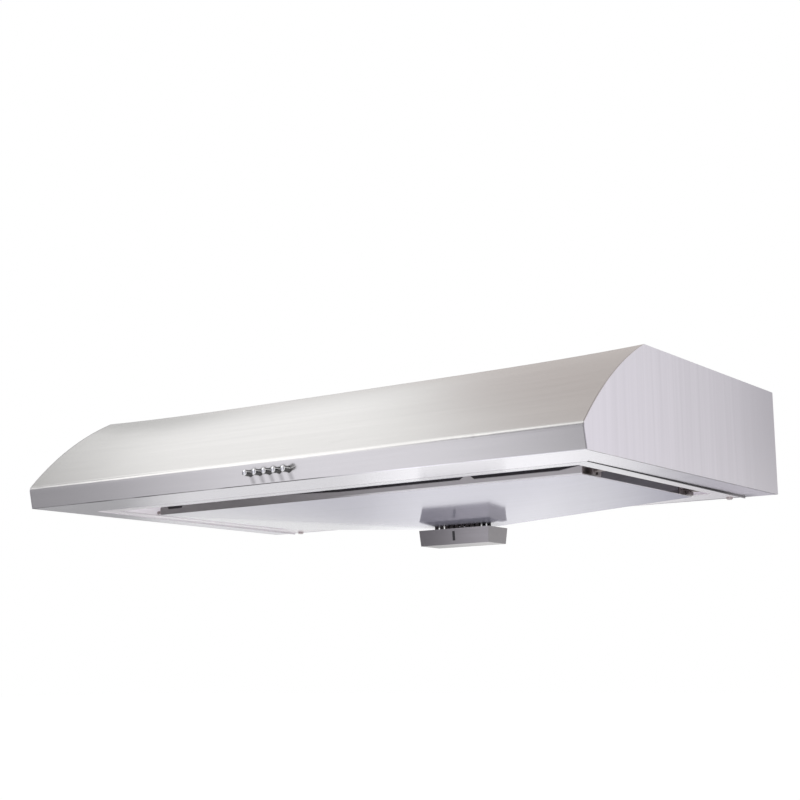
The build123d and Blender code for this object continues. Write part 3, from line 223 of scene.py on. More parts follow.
def calc_vector(tree, operation, *values):
    """The result of a Vector Math node: a number for a dot product or a length, and otherwise a vector."""
    made = add(tree, "ShaderNodeVectorMath", dict(enumerate(values)), operation=operation)
    return made.outputs["Value" if operation in ("DOT_PRODUCT", "LENGTH") else "Vector"]


def parts_of(tree, vector):
    """The X, Y and Z of a vector."""
    return add(tree, "ShaderNodeSeparateXYZ", {0: vector}).outputs


def held(tree, value, low=0, high=1):
    """A value kept between two limits."""
    return calc(tree, "MAXIMUM", low, calc(tree, "MINIMUM", high, value))


def ramp(tree, value, start=0, stop=1, low=0, high=1, course="SMOOTHSTEP"):
    """Takes start..stop to low..high, and holds the value outside them."""
    inputs = {"Value": value, "From Min": start, "From Max": stop, "To Min": low, "To Max": high}
    return add(tree, "ShaderNodeMapRange", inputs, interpolation_type=course).outputs["Result"]


def noise(tree, place, scale, detail, **others):
    """Cloudy noise around 0.5."""
    inputs = {"Vector": place, "Scale": scale, "Detail": detail, **others}
    return add(tree, "ShaderNodeTexNoise", inputs).outputs["Fac"]


NODE_COLUMN, NODE_ROW = 220, 260  # spacing of the nodes in the shader editor


def lay_out(tree):
    """Sets a tree's nodes out in columns, each to the left of what it feeds."""
    column = {node: 0 for node in tree.nodes}
    for _ in tree.nodes:
        for link in tree.links:
            column[link.from_node] = max(column[link.from_node], column[link.to_node] + 1)
    rows = {}
    for node, steps in column.items():
        rows[steps] = rows.get(steps, 0) + 1
        node.location = (-NODE_COLUMN * steps, -NODE_ROW * rows[steps])


# ---- effects: shader groups that the materials share, each built once ----
def new_group(name, inputs, outputs):
    """An empty group: numbers or vectors, labelled and with their defaults, go in, and numbers come out."""
    tree = bpy.data.node_groups.new(name, "ShaderNodeTree")
    for label, default in inputs.items():
        kind = "NodeSocketVector" if isinstance(default, tuple) else "NodeSocketFloat"
        tree.interface.new_socket(name=label, in_out="INPUT", socket_type=kind).default_value = default
    for label in outputs:
        tree.interface.new_socket(name=label, in_out="OUTPUT", socket_type="NodeSocketFloat")
    given = tree.nodes.new("NodeGroupInput").outputs
    out = tree.nodes.new("NodeGroupOutput").inputs
    return tree, given, out, tree.nodes.new("ShaderNodeTexCoord").outputs


@cache
def brush_lines():
    """Fine and broad lines left by brushing: values around 0.5 that vary across the lines."""
    inputs = {"Scale": (10, 1000, 1000), "Coarse scale": (2, 120, 120)}
    tree, given, out, at = new_group("Brush lines", inputs, ("Fine", "Coarse"))
    for label, scale, detail in (("Fine", "Scale", 2), ("Coarse", "Coarse scale", 4)):
        stretched = calc_vector(tree, "MULTIPLY", at["Object"], given[scale])
        give(tree, out[label], noise(tree, stretched, 1, detail, Roughness=0.65))
    return tree


@cache
def smudges():
    """Broad soft patches left by wiping and handling."""
    tree, given, out, at = new_group("Smudges", {"Scale": 6}, ("Mask",))
    patches = noise(tree, at["Object"], given["Scale"], detail=4, Distortion=0.6)
    give(tree, out["Mask"], ramp(tree, patches, start=0.35, stop=0.7))
    return tree


@cache
def grain():
    """Small even grain of moulded, cast or coated surfaces, and broader unevenness."""
    tree, given, out, at = new_group("Grain", {"Fine scale": 900, "Broad scale": 40}, ("Fine", "Broad"))
    for label in ("Fine", "Broad"):
        give(tree, out[label], noise(tree, at["Object"], given[label + " scale"], detail=3))
    return tree


@cache
def spangle():
    """Zinc crystals of galvanised sheet: flat patches of slightly different grey."""
    tree, given, out, at = new_group("Spangle", {"Scale": 110}, ("Patch",))
    cells = add(tree, "ShaderNodeTexVoronoi", {"Vector": at["Object"], "Scale": given["Scale"]})
    give(tree, out["Patch"], add(tree, "ShaderNodeSeparateColor", {0: cells.outputs["Color"]}).outputs[0])
    return tree


@cache
def upright_faces():
    """1 on faces that stand along an axis, such as the rim of a flat pan, and 0 on those across it."""
    tree, given, out, at = new_group("Upright faces", {"Axis": (0, 0, 1)}, ("Mask",))
    level = calc(tree, "ABSOLUTE", calc_vector(tree, "DOT_PRODUCT", at["Normal"], given["Axis"]))
    give(tree, out["Mask"], ramp(tree, level, start=0.35, stop=0.75, low=1, high=0))
    return tree


@cache
def along_line():
    """0 at one point rising to 1 at another, for a finish or a painted light or shade that changes along a
    piece.
    """
    tree, given, out, at = new_group("Along", {"From": (-0.4, 0, 0), "Step": (1.25, 0, 0)}, ("Part",))
    offset = calc_vector(tree, "SUBTRACT", at["Object"], given["From"])
    give(tree, out["Part"], ramp(tree, calc_vector(tree, "DOT_PRODUCT", offset, given["Step"])))
    return tree


@cache
def seam_border():
    """1 along the border of a box, where two sheets meet in a dark seam, broken up here and there."""
    inputs = {"Middle": (0, 0, 0), "Half size": (1, 1, 1), "Width": 0.001, "Breaks": 8}
    tree, given, out, at = new_group("Seam border", inputs, ("Mask",))
    math = partial(calc, tree)
    aside = calc_vector(tree, "ABSOLUTE", calc_vector(tree, "SUBTRACT", at["Object"], given["Middle"]))
    room = parts_of(tree, calc_vector(tree, "SUBTRACT", given["Half size"], aside))
    nearest = math("MINIMUM", math("MINIMUM", room["X"], room["Y"]), room["Z"])
    core = math("MULTIPLY", given["Width"], 0.5)
    line = ramp(tree, nearest, start=core, stop=given["Width"], low=1, high=0)
    clouds = noise(tree, at["Object"], given["Breaks"], detail=2)
    faint = ramp(tree, clouds, start=0.38, stop=0.5, low=0.35)
    give(tree, out["Mask"], math("MULTIPLY", line, faint))
    return tree


@cache
def level_slit():
    """1 in a slit under a level edge: it runs along X and narrows to nothing at its ends."""
    inputs = {"Top": 0, "Width": 0.002, "Start": 0, "Stop": 0.1, "Start taper": 0.1, "Stop taper": 0.1}
    tree, given, out, at = new_group("Slit", inputs, ("Mask",))
    math = partial(calc, tree)
    spot = parts_of(tree, at["Object"])
    drop = math("DIVIDE", math("SUBTRACT", given["Top"], spot["Z"]), given["Width"])
    first = math("DIVIDE", math("SUBTRACT", spot["X"], given["Start"]), given["Start taper"])
    last = math("DIVIDE", math("SUBTRACT", given["Stop"], spot["X"]), given["Stop taper"])
    open_share = math("MINIMUM", math("MINIMUM", first, last), 1)
    give(tree, out["Mask"], ramp(tree, math("SUBTRACT", open_share, drop), start=-0.1, stop=0.2))
    return tree


@cache
def soft_folds():
    """Rounds the folds of a pan that is pressed down to the middle of its rear edge: a height over it."""
    inputs = {"Half length": 0.35, "Front": 0, "Depth": 0.3, "Softness": 0.3}
    tree, given, out, at = new_group("Soft folds", inputs, ("Height",))
    math = partial(calc, tree)
    spot = parts_of(tree, at["Object"])
    aside = math("SUBTRACT", 1, math("DIVIDE", math("ABSOLUTE", spot["X"]), given["Half length"]))
    back = math("DIVIDE", math("SUBTRACT", spot["Y"], given["Front"]), given["Depth"])
    soft = math("SMOOTH_MIN", aside, back, given["Softness"])
    give(tree, out["Height"], math("SUBTRACT", soft, math("MINIMUM", aside, back)))
    return tree


END_BUTTON = 2  # steps from the middle button to the last one on each side
# The painted shade below a button, in its radii: half its width, its top and bottom, its lean and its fade.
BUTTON_SHADE_HALF, BUTTON_SHADE_TOP, BUTTON_SHADE_BOTTOM = 1.3, 0.5, -3.6
BUTTON_SHADE_LEAN, BUTTON_SHADE_FADE = 0.3, 0.4


@cache
def button_masks():
    """For buttons in a row: each face's crown, the rise up its barrel from -1 to 1, and a painted shade
    below.
    """
    inputs = {"Middle": (0, 0, 0), "Pitch": 0.02, "Radius": 0.004}
    tree, given, out, at = new_group("Button row", inputs, ("Crown", "Rise", "Painted shade"))
    math = partial(calc, tree)
    spot = parts_of(tree, calc_vector(tree, "SUBTRACT", at["Object"], given["Middle"]))
    place = math("DIVIDE", spot["X"], given["Pitch"])
    button = held(tree, math("ROUND", place), -END_BUTTON, END_BUTTON)
    side = math("MULTIPLY", math("SUBTRACT", place, button), given["Pitch"])
    across = add(tree, "ShaderNodeCombineXYZ", {"X": side, "Y": spot["Z"]}).outputs[0]
    crown = math("DIVIDE", calc_vector(tree, "LENGTH", across), given["Radius"])
    rise = math("DIVIDE", spot["Z"], given["Radius"])
    aside = math("ADD", math("DIVIDE", side, given["Radius"]), math("MULTIPLY", rise, BUTTON_SHADE_LEAN))
    core = held(tree, math("SUBTRACT", BUTTON_SHADE_HALF, math("ABSOLUTE", aside)))
    fade = math("MULTIPLY", math("SUBTRACT", rise, BUTTON_SHADE_BOTTOM), math("SUBTRACT", BUTTON_SHADE_TOP, rise))
    painted_shade = math("MULTIPLY", core, held(tree, math("MULTIPLY", fade, BUTTON_SHADE_FADE)))
    for label, value in (("Crown", math("POWER", crown, 2)), ("Rise", rise), ("Painted shade", painted_shade)):
        give(tree, out[label], value)
    return tree


@cache
def card_border():
    """1 inside a card one unit wide and high, fading out towards its border."""
    tree, given, out, at = new_group("Card border", {"Width": 0.1, "Height": 0.1}, ("Mask",))
    math = partial(calc, tree)
    spot = parts_of(tree, at["Object"])
    fades = []
    for axis, border in (("X", "Width"), ("Y", "Height")):
        inner = math("SUBTRACT", 0.5, given[border])
        fades.append(ramp(tree, math("ABSOLUTE", spot[axis]), start=inner, stop=0.5, low=1, high=0))
    give(tree, out["Mask"], math("MULTIPLY", *fades))
    return tree


# ---- materials ----
# Lengths in metres.
OUTSIDE = 1  # from the middle, past every side of the hood
LEVEL = 0.0004  # a corner within this height of a piece's lowest point is on its lowest face
BRUSH_DEPTH = 0.00004
GRAIN_DEPTH = 0.00005
DULL = 0.3  # specular level of the liner and guard
GLOSS_SPREAD = 0.05  # how far brushing varies the roughness
SMUDGE_SHARE = 0.25  # of that variation
GRAIN_GLOSS = 0.15  # the share by which grain varies the roughness
BROAD_LENGTH, BROAD_WIDTH = 4, 14  # broad brush lines, in fine ones


def toned(base, share):
    """A colour made darker or lighter, up to white."""
    return [min(1, part * share) for part in base]


def middle(low, high):
    """The middle of a box."""
    return [(a + b) / 2 for a, b in zip(low, high)]


def lowest_edge(name, axis, side):
    """How far a piece's lowest face reaches along an axis: up it where side is 1, and down it where -1."""
    corners = [corner.co for corner in NODES[name].data.vertices]
    low = min(corner.z for corner in corners) + LEVEL
    return side * max(side * corner[axis] for corner in corners if corner.z < low)


def by_label(values):
    """Values given by keyword, under their sockets' labels."""
    return {name.replace("_", " "): value for name, value in values.items()}


def effect(material, group, **values):
    """The outputs of a shared effect placed in a material with its own values."""
    return add(material.node_tree, "ShaderNodeGroup", by_label(values), node_tree=group()).outputs


def shader(name, base, roughness, metallic=0, **constants):
    """A material with a Principled shader whose constant values are set on its own sockets."""
    material = bpy.data.materials.new(name)
    material.use_nodes = True
    surface = material.node_tree.nodes["Principled BSDF"]
    constants.update(Base_Color=base, Roughness=roughness, Metallic=metallic)
    for label, value in by_label(constants).items():
        give(material.node_tree, surface.inputs[label], value)
    return material, surface


def vary(tree, value, low, high, target, label):
    """Takes a 0 to 1 value to low..high and feeds it in."""
    give(tree, target.inputs[label], ramp(tree, value, low=low, high=high, course="LINEAR"))


def blend(tree, mask, first, second):
    """Mixes two colours, given as values or sockets, by a mask."""
    return add(tree, "ShaderNodeMix", {0: mask, 6: first, 7: second}, data_type="RGBA").outputs[2]


def wash(tree, mask, over, target, share=1):
    """Takes the base colour towards another one by a share of a mask."""
    socket = target.inputs["Base Color"]
    under = socket.links[0].from_socket if socket.is_linked else tuple(socket.default_value)[:3]
    give(tree, socket, blend(tree, calc(tree, "MULTIPLY", mask, share), under, over))


def relief(tree, height, strength, distance, target):
    """Bump from a height into the normal of a shader, or of another bump."""
    bump = add(tree, "ShaderNodeBump", {"Strength": strength, "Distance": distance, "Height": height})
    give(tree, target.inputs["Normal"], bump.outputs["Normal"])


def steel(name, base, roughness, brushed, streak=0.03, bump=0.05, metallic=1, **constants):
    """Stainless sheet brushed along an axis, with streaks, smudges and fine scratches."""
    finish = bpy.context.scene.hood_steel
    material, surface = shader(name, base, roughness, metallic, **constants)
    tree = material.node_tree
    run, across = 1 / finish.line_length, 1 / finish.line_width
    fine = [run if axis == brushed else across for axis in "XYZ"]
    broad = [run / BROAD_LENGTH if axis == brushed else across / BROAD_WIDTH for axis in "XYZ"]
    lines = effect(material, brush_lines, Scale=fine, Coarse_scale=broad)
    mixed = {0: SMUDGE_SHARE, 2: lines["Fine"], 3: effect(material, smudges)["Mask"]}
    uneven = add(tree, "ShaderNodeMix", mixed, data_type="FLOAT").outputs[0]
    vary(tree, uneven, roughness - GLOSS_SPREAD / 2, roughness + GLOSS_SPREAD / 2, surface, "Roughness")
    streaks = blend(tree, lines["Coarse"], toned(base, 1 - streak), toned(base, 1 + streak))
    give(tree, surface.inputs["Base Color"], streaks)
    relief(tree, lines["Fine"], bump, BRUSH_DEPTH, surface)
    return material, surface


def grained(name, base, roughness, metallic=0, fine=900, shift=0.1, bump=0.1, **constants):
    """A plain-coloured surface with a small grain, uneven gloss and slight colour drift."""
    material, surface = shader(name, base, roughness, metallic, **constants)
    tree = material.node_tree
    spots = effect(material, grain, Fine_scale=fine)
    smooth, rough = roughness * (1 - GRAIN_GLOSS), min(1, roughness * (1 + GRAIN_GLOSS))
    vary(tree, spots["Broad"], smooth, rough, surface, "Roughness")
    drift = blend(tree, spots["Broad"], toned(base, 1 - shift), toned(base, 1 + shift))
    give(tree, surface.inputs["Base Color"], drift)
    relief(tree, spots["Fine"], bump, GRAIN_DEPTH, surface)
    return material, surface


def along(material, start, end, axis=None):
    """A mask that rises from 0 at one point to 1 at another, or between two places on one axis."""
    if axis:
        start, end = ([place if name == axis else 0 for name in "XYZ"] for place in (start, end))
    start, end = Vector(start), Vector(end)
    step = (end - start) / (end - start).length_squared
    return effect(material, along_line, From=start, Step=step)["Part"]


def facing(material, axis):
    """A mask of the faces that look along an axis, either way."""
    return calc(material.node_tree, "SUBTRACT", 1, effect(material, upright_faces, Axis=axis)["Mask"])


def border(material, low, high, axes, width, **values):
    """A mask of a box's border along the named axes."""
    room = [(b - a) / 2 if axis in axes else OUTSIDE for axis, a, b in zip("XYZ", low, high)]
    box = {"Middle": middle(low, high), "Half_size": room}
    return effect(material, seam_border, Width=width, **box, **values)["Mask"]


def seam(material, surface, low, high, axes, width, shade, share=0.9, breaks=8):
    """Shades the border of a box along the named axes, where a sheet ends in a seam."""
    line = border(material, low, high, axes, width, Breaks=breaks)
    wash(material.node_tree, line, shade, surface, share)


def button_row(material):
    """The masks that follow the row of push buttons."""
    low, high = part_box("button_medium")
    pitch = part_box("button_high")[0][0] - low[0]
    radius = (high[0] - low[0]) / 2
    return effect(material, button_masks, Middle=middle(low, high), Pitch=pitch, Radius=radius)


def dress(names, material):
    """Puts one material in every slot of the named pieces."""
    for name in names:
        mesh = NODES[name].data
        if not mesh.materials:
            mesh.materials.append(material)
        for index in range(len(mesh.materials)):
            mesh.materials[index] = material


# ---- operators: one for each group of pieces, with the places in metres where its finish or its painted light and shade changes ----
FRONT_HEM = (0.05, 0.2)  # along X, where the front's lower edge turns from a painted dark gap to a painted highlight on the hem
HEM_WIDTH, FRAME_SEAM = 0.8, 1.2  # in seams
END_SHADE = (0, 0.2)  # along Y, where the ends darken towards the wall


class HOOD_OT_shell(Operator):
    """Brushed steel on the canopy, ends, top and back, with painted shade in the seams where they meet, a
    painted gap and highlight along the canopy's lower edge and painted shade below the buttons
    """

    bl_idname = "hood.shell"
    bl_label = "Shell"

    def execute(self, context):
        finish = context.scene.hood_steel
        material, surface = steel("front_steel", finish.shell, roughness=0.24, brushed="X", streak=0.06)
        tree = material.node_tree
        low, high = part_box("front_panel")
        # painted shade in the seams at the canopy's ends
        seam(material, surface, low, high, "X", finish.seam, finish.gap, share=0.55)
        # painted dark gap turning into a painted highlight along the canopy's lower edge
        hem = blend(tree, along(material, *FRONT_HEM, "X"), finish.gap, finish.hem)
        seam(material, surface, low, (high[0], high[1], OUTSIDE), "Z", HEM_WIDTH * finish.seam, hem)
        # painted shade below each push button
        wash(tree, button_row(material)["Painted shade"], toned(finish.shell, 0.6), surface, share=0.8)
        dress(SHELL_FRONT, material)
        dress(SHELL_TOP, steel("top_steel", finish.shell, roughness=0.26, brushed="X")[0])
        material, surface = steel("end_steel", finish.ends, roughness=0.30, brushed="Z", streak=0.12)
        wash(material.node_tree, along(material, *END_SHADE, "Y"), toned(finish.ends, 0.88), surface)
        dress(SHELL_ENDS, material)
        return {"FINISHED"}


FRAME_HEM = (0.08, 0.2)  # along X, as on the front
FRAME_PAINTED_LIGHT = ((0.36, -0.1, 0), (0.45, 0.12, 0))  # where painted light makes the frame paler towards its rear right corner
FRAME_SHADE_BACK = (-0.262, 0.15)  # along Y, where its shade beside the liner deepens towards the wall
FRAME_SHADE_RIGHT = (0.2, 0.4)  # along X, where that shade comes in
SHADE_WIDTH = 9  # and how far it fades out, in seams
LINER_INSIDE = (0.001, 0.002)  # above the frame's lowest face, where the inside of the liner begins
LINER_BACK = (-0.25, -0.05)  # along Y, where the liner's lip turns as pale as its inside
LINER_PAINTED_LIGHT = (((0.34, -0.2, 0), (0.42, 0.15, 0)), ((-0.25, 0, 0), (-0.4, 0, 0)))  # where painted light makes it palest
LINER_METAL, LINER_METAL_INSIDE = 0.4, 0.1


class HOOD_OT_underside(Operator):
    """Polished steel on the frame and liner, with painted shade in the seams round them and painted light
    at their ends
    """

    bl_idname = "hood.underside"
    bl_label = "Underside"

    def execute(self, context):
        finish = context.scene.hood_steel
        left, right = (lowest_edge("liner_tray", 0, side) for side in (-1, 1))
        self.frame(finish, right)
        self.liner(finish, left, right)
        return {"FINISHED"}

    def frame(self, finish, rim):
        """The frame, with a painted dark gap and painted highlight at its front, painted light towards its
        rear right corner, seams of painted shade at its ends and painted shade beside the liner's right
        rim.
        """
        material, surface = steel(
            "frame_steel", finish.polished, roughness=0.2, brushed="X", streak=0.06, metallic=0.9
        )
        tree = material.node_tree
        low, high = (list(corner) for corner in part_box("bottom_frame"))
        low[1] = lowest_edge("bottom_frame", 1, -1)
        # painted dark gap turning into a painted highlight along the frame's front edge
        hem = blend(tree, along(material, *FRAME_HEM, "X"), finish.gap, finish.hem)
        front = (-OUTSIDE, low[1], -OUTSIDE), (OUTSIDE, OUTSIDE, OUTSIDE)
        seam(material, surface, *front, "Y", FRAME_SEAM * finish.seam, hem)
        # painted light: the frame turns paler towards its rear right corner
        wash(tree, along(material, *FRAME_PAINTED_LIGHT), finish.frame_end, surface)
        # painted shade in the seams at the frame's ends
        seam(material, surface, low, high, "X", FRAME_SEAM * finish.seam, finish.gap, share=1, breaks=20)
        # painted shade beside the liner's right rim, deepening towards the wall
        fade = SHADE_WIDTH * finish.seam
        beyond = border(material, (-OUTSIDE, 0, 0), (rim + fade, 0, 0), "X", fade)
        near = calc(tree, "SUBTRACT", 1, beyond)
        shade = calc(tree, "MULTIPLY", near, along(material, *FRAME_SHADE_BACK, "Y"))
        shade = calc(tree, "MULTIPLY", shade, along(material, *FRAME_SHADE_RIGHT, "X"))
        wash(tree, shade, finish.gap, surface, share=0.85)
        dress(UNDERSIDE, material)

    def liner(self, finish, left, right):
        """The liner, pale inside, with painted light at its ends, painted dark shade in its right seam and
        painted grey shade in its left one.
        """
        dull = {"metallic": LINER_METAL, "Specular_IOR_Level": DULL}
        material, surface = steel("liner_steel", finish.liner, roughness=0.22, brushed="X", **dull)
        tree = material.node_tree
        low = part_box("bottom_frame")[0][2]
        inside = along(material, *(low + rise for rise in LINER_INSIDE), "Z")
        inside = calc(tree, "MAXIMUM", inside, along(material, *LINER_BACK, "Y"))
        vary(tree, inside, LINER_METAL, LINER_METAL_INSIDE, surface, "Metallic")
        wash(tree, inside, finish.inside, surface)
        # painted light at both ends of the liner
        for start, end in LINER_PAINTED_LIGHT:
            wash(tree, along(material, start, end), finish.liner_painted_light, surface)
        # painted shade in the seams: dark on the right, grey on the left
        grey = toned(finish.liner, 0.5)
        for start, end, shade in ((-OUTSIDE, right, finish.gap), (left, OUTSIDE, grey)):
            low, high = (start, -OUTSIDE, -OUTSIDE), (end, OUTSIDE, OUTSIDE)
            seam(material, surface, low, high, "X", finish.seam, shade, share=1, breaks=2)
        dress(LINER, material)


GUARD_PAINTED_LIGHT = (-0.03, -0.32)  # along X, where painted light makes the guard paler towards its left end
GUARD_HEM = (-0.05, 0.1)  # along X, where its front flange gains a painted highlight on the hem
HEM_FRONT = (0.0024, 0.0018)  # above the fold, the top of the painted highlight on the front flange's hem
HEM_SIDE = (0.0014, 0.0006)  # and on the side flanges
FOLD_DEPTH = 0.0225  # how strongly the folds are rounded
GUARD_SHEET = 0.001  # thickness of the guard
RIM_DARKEST = 0.1  # from its left end, where painted shade makes the front flange darkest
# The slits of painted shade above the front flange: width, start and stop along X, and how far each end
# tapers.
GUARD_SLITS = (
    (0.0042, -0.343, -0.312, 0.002, 0.002),
    (0.0039, -0.118, 0.185, 0.1, 0.006),
    (0.0046, 0.195, 0.36, 0.006, 0.035),
)


class HOOD_OT_guard(Operator):
    """Polished oil guard with its clips and hinges"""

    bl_idname = "hood.guard"
    bl_label = "Oil guard"

    def execute(self, context):
        finish = context.scene.hood_steel
        low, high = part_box("oil_guard_panel")
        polish = {"roughness": 0.1, "streak": 0.06, "bump": 0.03}
        dull = {"metallic": 0.27, "Specular_IOR_Level": DULL}
        material, surface = steel("guard_steel", finish.guard, brushed="X", **polish, **dull)
        tree = material.node_tree
        # painted light: the guard grows paler towards its left end
        wash(tree, along(material, *GUARD_PAINTED_LIGHT, "X"), finish.guard_painted_light, surface)
        depth = high[1] - low[1]
        folds = effect(material, soft_folds, Half_length=high[0], Front=low[1], Depth=depth)
        scratches = surface.inputs["Normal"].links[0].from_node
        relief(tree, folds["Height"], 1, FOLD_DEPTH, scratches)
        self.rim(finish, material, surface, low, high)
        # painted shade in the slits above the front flange
        for width, start, stop, *tapers in GUARD_SLITS:
            ends = {"Start_taper": tapers[0], "Stop_taper": tapers[1]}
            slit = effect(material, level_slit, Top=high[2], Width=width, Start=start, Stop=stop, **ends)
            wash(tree, slit["Mask"], finish.gap, surface)
        dress(GUARD, material)
        worn = {"roughness": 0.35, "streak": 0.45, "bump": 0.3}
        dress(GUARD_FITTINGS + RIVETS, steel("spring_steel", finish.spring, brushed="Y", **worn)[0])
        return {"FINISHED"}

    def rim(self, finish, material, surface, low, high):
        """The flanges: satin, darkened by painted shade towards the left end and to nearly black on the
        sides, with a painted highlight on the hem.
        """
        tree = material.node_tree
        fold = lowest_edge("guard_clip_right", 2, -1) - GUARD_SHEET
        # painted shade: the front flange darkens towards the left end, and the side flanges nearly to black
        darker = along(material, high[0], low[0] + RIM_DARKEST, "X")
        front = blend(tree, darker, finish.rim, finish.rim_painted_shade)
        # painted highlight along the hem of the front and side flanges
        hem = along(material, *(fold + rise for rise in HEM_FRONT), "Z")
        hem = calc(tree, "MULTIPLY", hem, along(material, *GUARD_HEM, "X"))
        front = blend(tree, hem, front, finish.hem)
        hem = along(material, *(fold + rise for rise in HEM_SIDE), "Z")
        side = blend(tree, hem, finish.rim_side_painted_shade, finish.hem)
        flanges = blend(tree, facing(material, (1, 0, 0)), front, side)
        wash(tree, effect(material, upright_faces)["Mask"], flanges, surface, share=0.95)


class HOOD_OT_cup(Operator):
    """Satin oil cup and its darker hanger"""

    bl_idname = "hood.cup"
    bl_label = "Oil cup"

    def execute(self, context):
        finish = context.scene.hood_steel
        low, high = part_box("oil_cup")
        material, surface = steel(
            "cup_steel", finish.cup, roughness=0.34, brushed="X", streak=0.15, bump=0.2
        )
        # painted shade: the cup darkens towards its left end and on its end faces
        dark = toned(finish.cup, 0.5)
        wash(material.node_tree, along(material, high[0], low[0], "X"), dark, surface)
        wash(material.node_tree, facing(material, (1, 0, 0)), dark, surface, share=0.5)
        dress(CUP, material)
        rough = {"roughness": 0.35, "metallic": 0.8, "fine": 300, "shift": 0.3, "bump": 0.4}
        dress(HANGER, grained("hanger_steel", finish.hanger, **rough)[0])
        return {"FINISHED"}


CHROME_GLOSS = (0.05, 0.12)  # the smoothest and roughest spots
# In radii of a button: how far its face stands out, the painted highlight along its barrel, and where
# painted light brightens the upper side of its barrel.
CROWN = 0.25
LINE_MIDDLE, LINE_REACH = 0.25, 0.2
SHOULDER = (0.6, 0.85)


class HOOD_OT_buttons(Operator):
    """Chrome push buttons with crowned faces and barrels darkened by painted shade with a painted
    highlight, and the liner's thumbscrews
    """

    bl_idname = "hood.buttons"
    bl_label = "Buttons"

    def execute(self, context):
        finish = context.scene.hood_steel
        low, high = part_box("button_medium")
        radius = (high[0] - low[0]) / 2
        material, surface = shader("button_chrome", finish.chrome, roughness=0.08, metallic=1)
        tree = material.node_tree
        row = button_row(material)
        relief(tree, row["Crown"], 1, -CROWN * radius, surface)
        vary(tree, effect(material, grain)["Broad"], *CHROME_GLOSS, surface, "Roughness")
        # painted highlight line along each barrel, painted light on its upper side and painted shade on the
        # rest
        line = calc(tree, "COMPARE", row["Rise"], LINE_MIDDLE, LINE_REACH)
        barrel = blend(tree, line, finish.barrel, finish.chrome)
        height = middle(low, high)[2]
        above = along(material, *(height + rise * radius for rise in SHOULDER), "Z")
        barrel = blend(tree, above, barrel, toned(finish.chrome, 0.6))
        wash(tree, effect(material, upright_faces, Axis=(0, 1, 0))["Mask"], barrel, surface, share=0.95)
        dress(BUTTONS, material)
        nickel = grained("thumbscrew_nickel", toned(finish.spring, 2), roughness=0.25, metallic=1)[0]
        dress(THUMBSCREWS, nickel)
        return {"FINISHED"}


SPANGLE_GLOSS, SPANGLE_SHADE = (0.34, 0.52), (0.86, 1.08)  # roughness and shade from crystal to crystal
MOULDED = {"roughness": 0.45, "shift": 0.2, "bump": 0.25}
ENAMEL = {"roughness": 0.35, "fine": 500, "shift": 0.15, "bump": 0.2}
FROSTED = {"roughness": 0.3, "shift": 0.02, "bump": 0.15, "Transmission_Weight": 0.9}


class HOOD_OT_works(Operator):
    """Galvanised housings, motors, wheels, electrics and fasteners inside the shell"""

    bl_idname = "hood.works"
    bl_label = "Works"

    def execute(self, context):
        parts = context.scene.hood_parts
        material, surface = shader("galvanised_sheet", parts.galvanised, roughness=0.42, metallic=0.9)
        tree = material.node_tree
        patch = effect(material, spangle)["Patch"]
        vary(tree, patch, *SPANGLE_GLOSS, surface, "Roughness")
        crystals = blend(tree, patch, *(toned(parts.galvanised, share) for share in SPANGLE_SHADE))
        give(tree, surface.inputs["Base Color"], crystals)
        relief(tree, effect(material, grain)["Fine"], 0.08, GRAIN_DEPTH, surface)
        dress(GALVANISED, material)
        dress(IMPELLERS, steel("impeller_alloy", parts.alloy, roughness=0.35, brushed="X", streak=0.08)[0])
        dress(LAMP_CANS, steel("lamp_can", parts.alloy, roughness=0.22, brushed="Z", streak=0.05)[0])
        for pieces, name, base, recipe in (
            (ZINC, "zinc_plating", parts.zinc, {"roughness": 0.32, "metallic": 1, "shift": 0.08}),
            (BLACK_PLASTIC, "black_plastic", parts.plastic, MOULDED),
            (RUBBER, "rubber", parts.rubber, {"roughness": 0.7, "fine": 1500, "shift": 0.2, "bump": 0.3}),
            (MOTORS, "motor_enamel", parts.enamel, ENAMEL),
            (CAPACITORS, "capacitor_can", parts.capacitor, {"roughness": 0.3, "shift": 0.03}),
            (LAMP_GLASS, "lamp_glass", parts.glass, FROSTED),
        ):
            dress(pieces, grained(name, base, **recipe)[0])
        return {"FINISHED"}


# ---- studio ----
SENSOR_WIDTH = 36  # millimetres
FLOOR_HALF = 40  # metres from its middle to its edge
FLOOR_GREY, FLOOR_ROUGH = 0.9, 0.9
FLOOR_SEEN = 1.02  # how bright the open floor looks: just past white, so that it meets the white room
PLAIN, WARM, COOL = (1, 1, 1), (1.0, 0.93, 0.905), (0.985, 0.975, 1.05)
ASLANT, AHEAD = Vector((0.93, 0.37, 0)), Vector((-0.37, 0.93, 0))  # the ceiling cards' edges
BROADSIDE, FRONT = Vector((-0.79, 0.61, 0)), Vector((-0.75, -1.54, 0))  # the front cards' edge and middle
KEY_PLACE, KEY_AIM, KEY_SIZE = Vector((-1.6, -1.4, 1.3)), Vector((0, -0.1, -0.05)), 1.2  # the key lamp
GLOW_MARGIN, GLOW_DROP = 0.04, 0.005  # the inner glow inside the roof's edges, and below its sheet

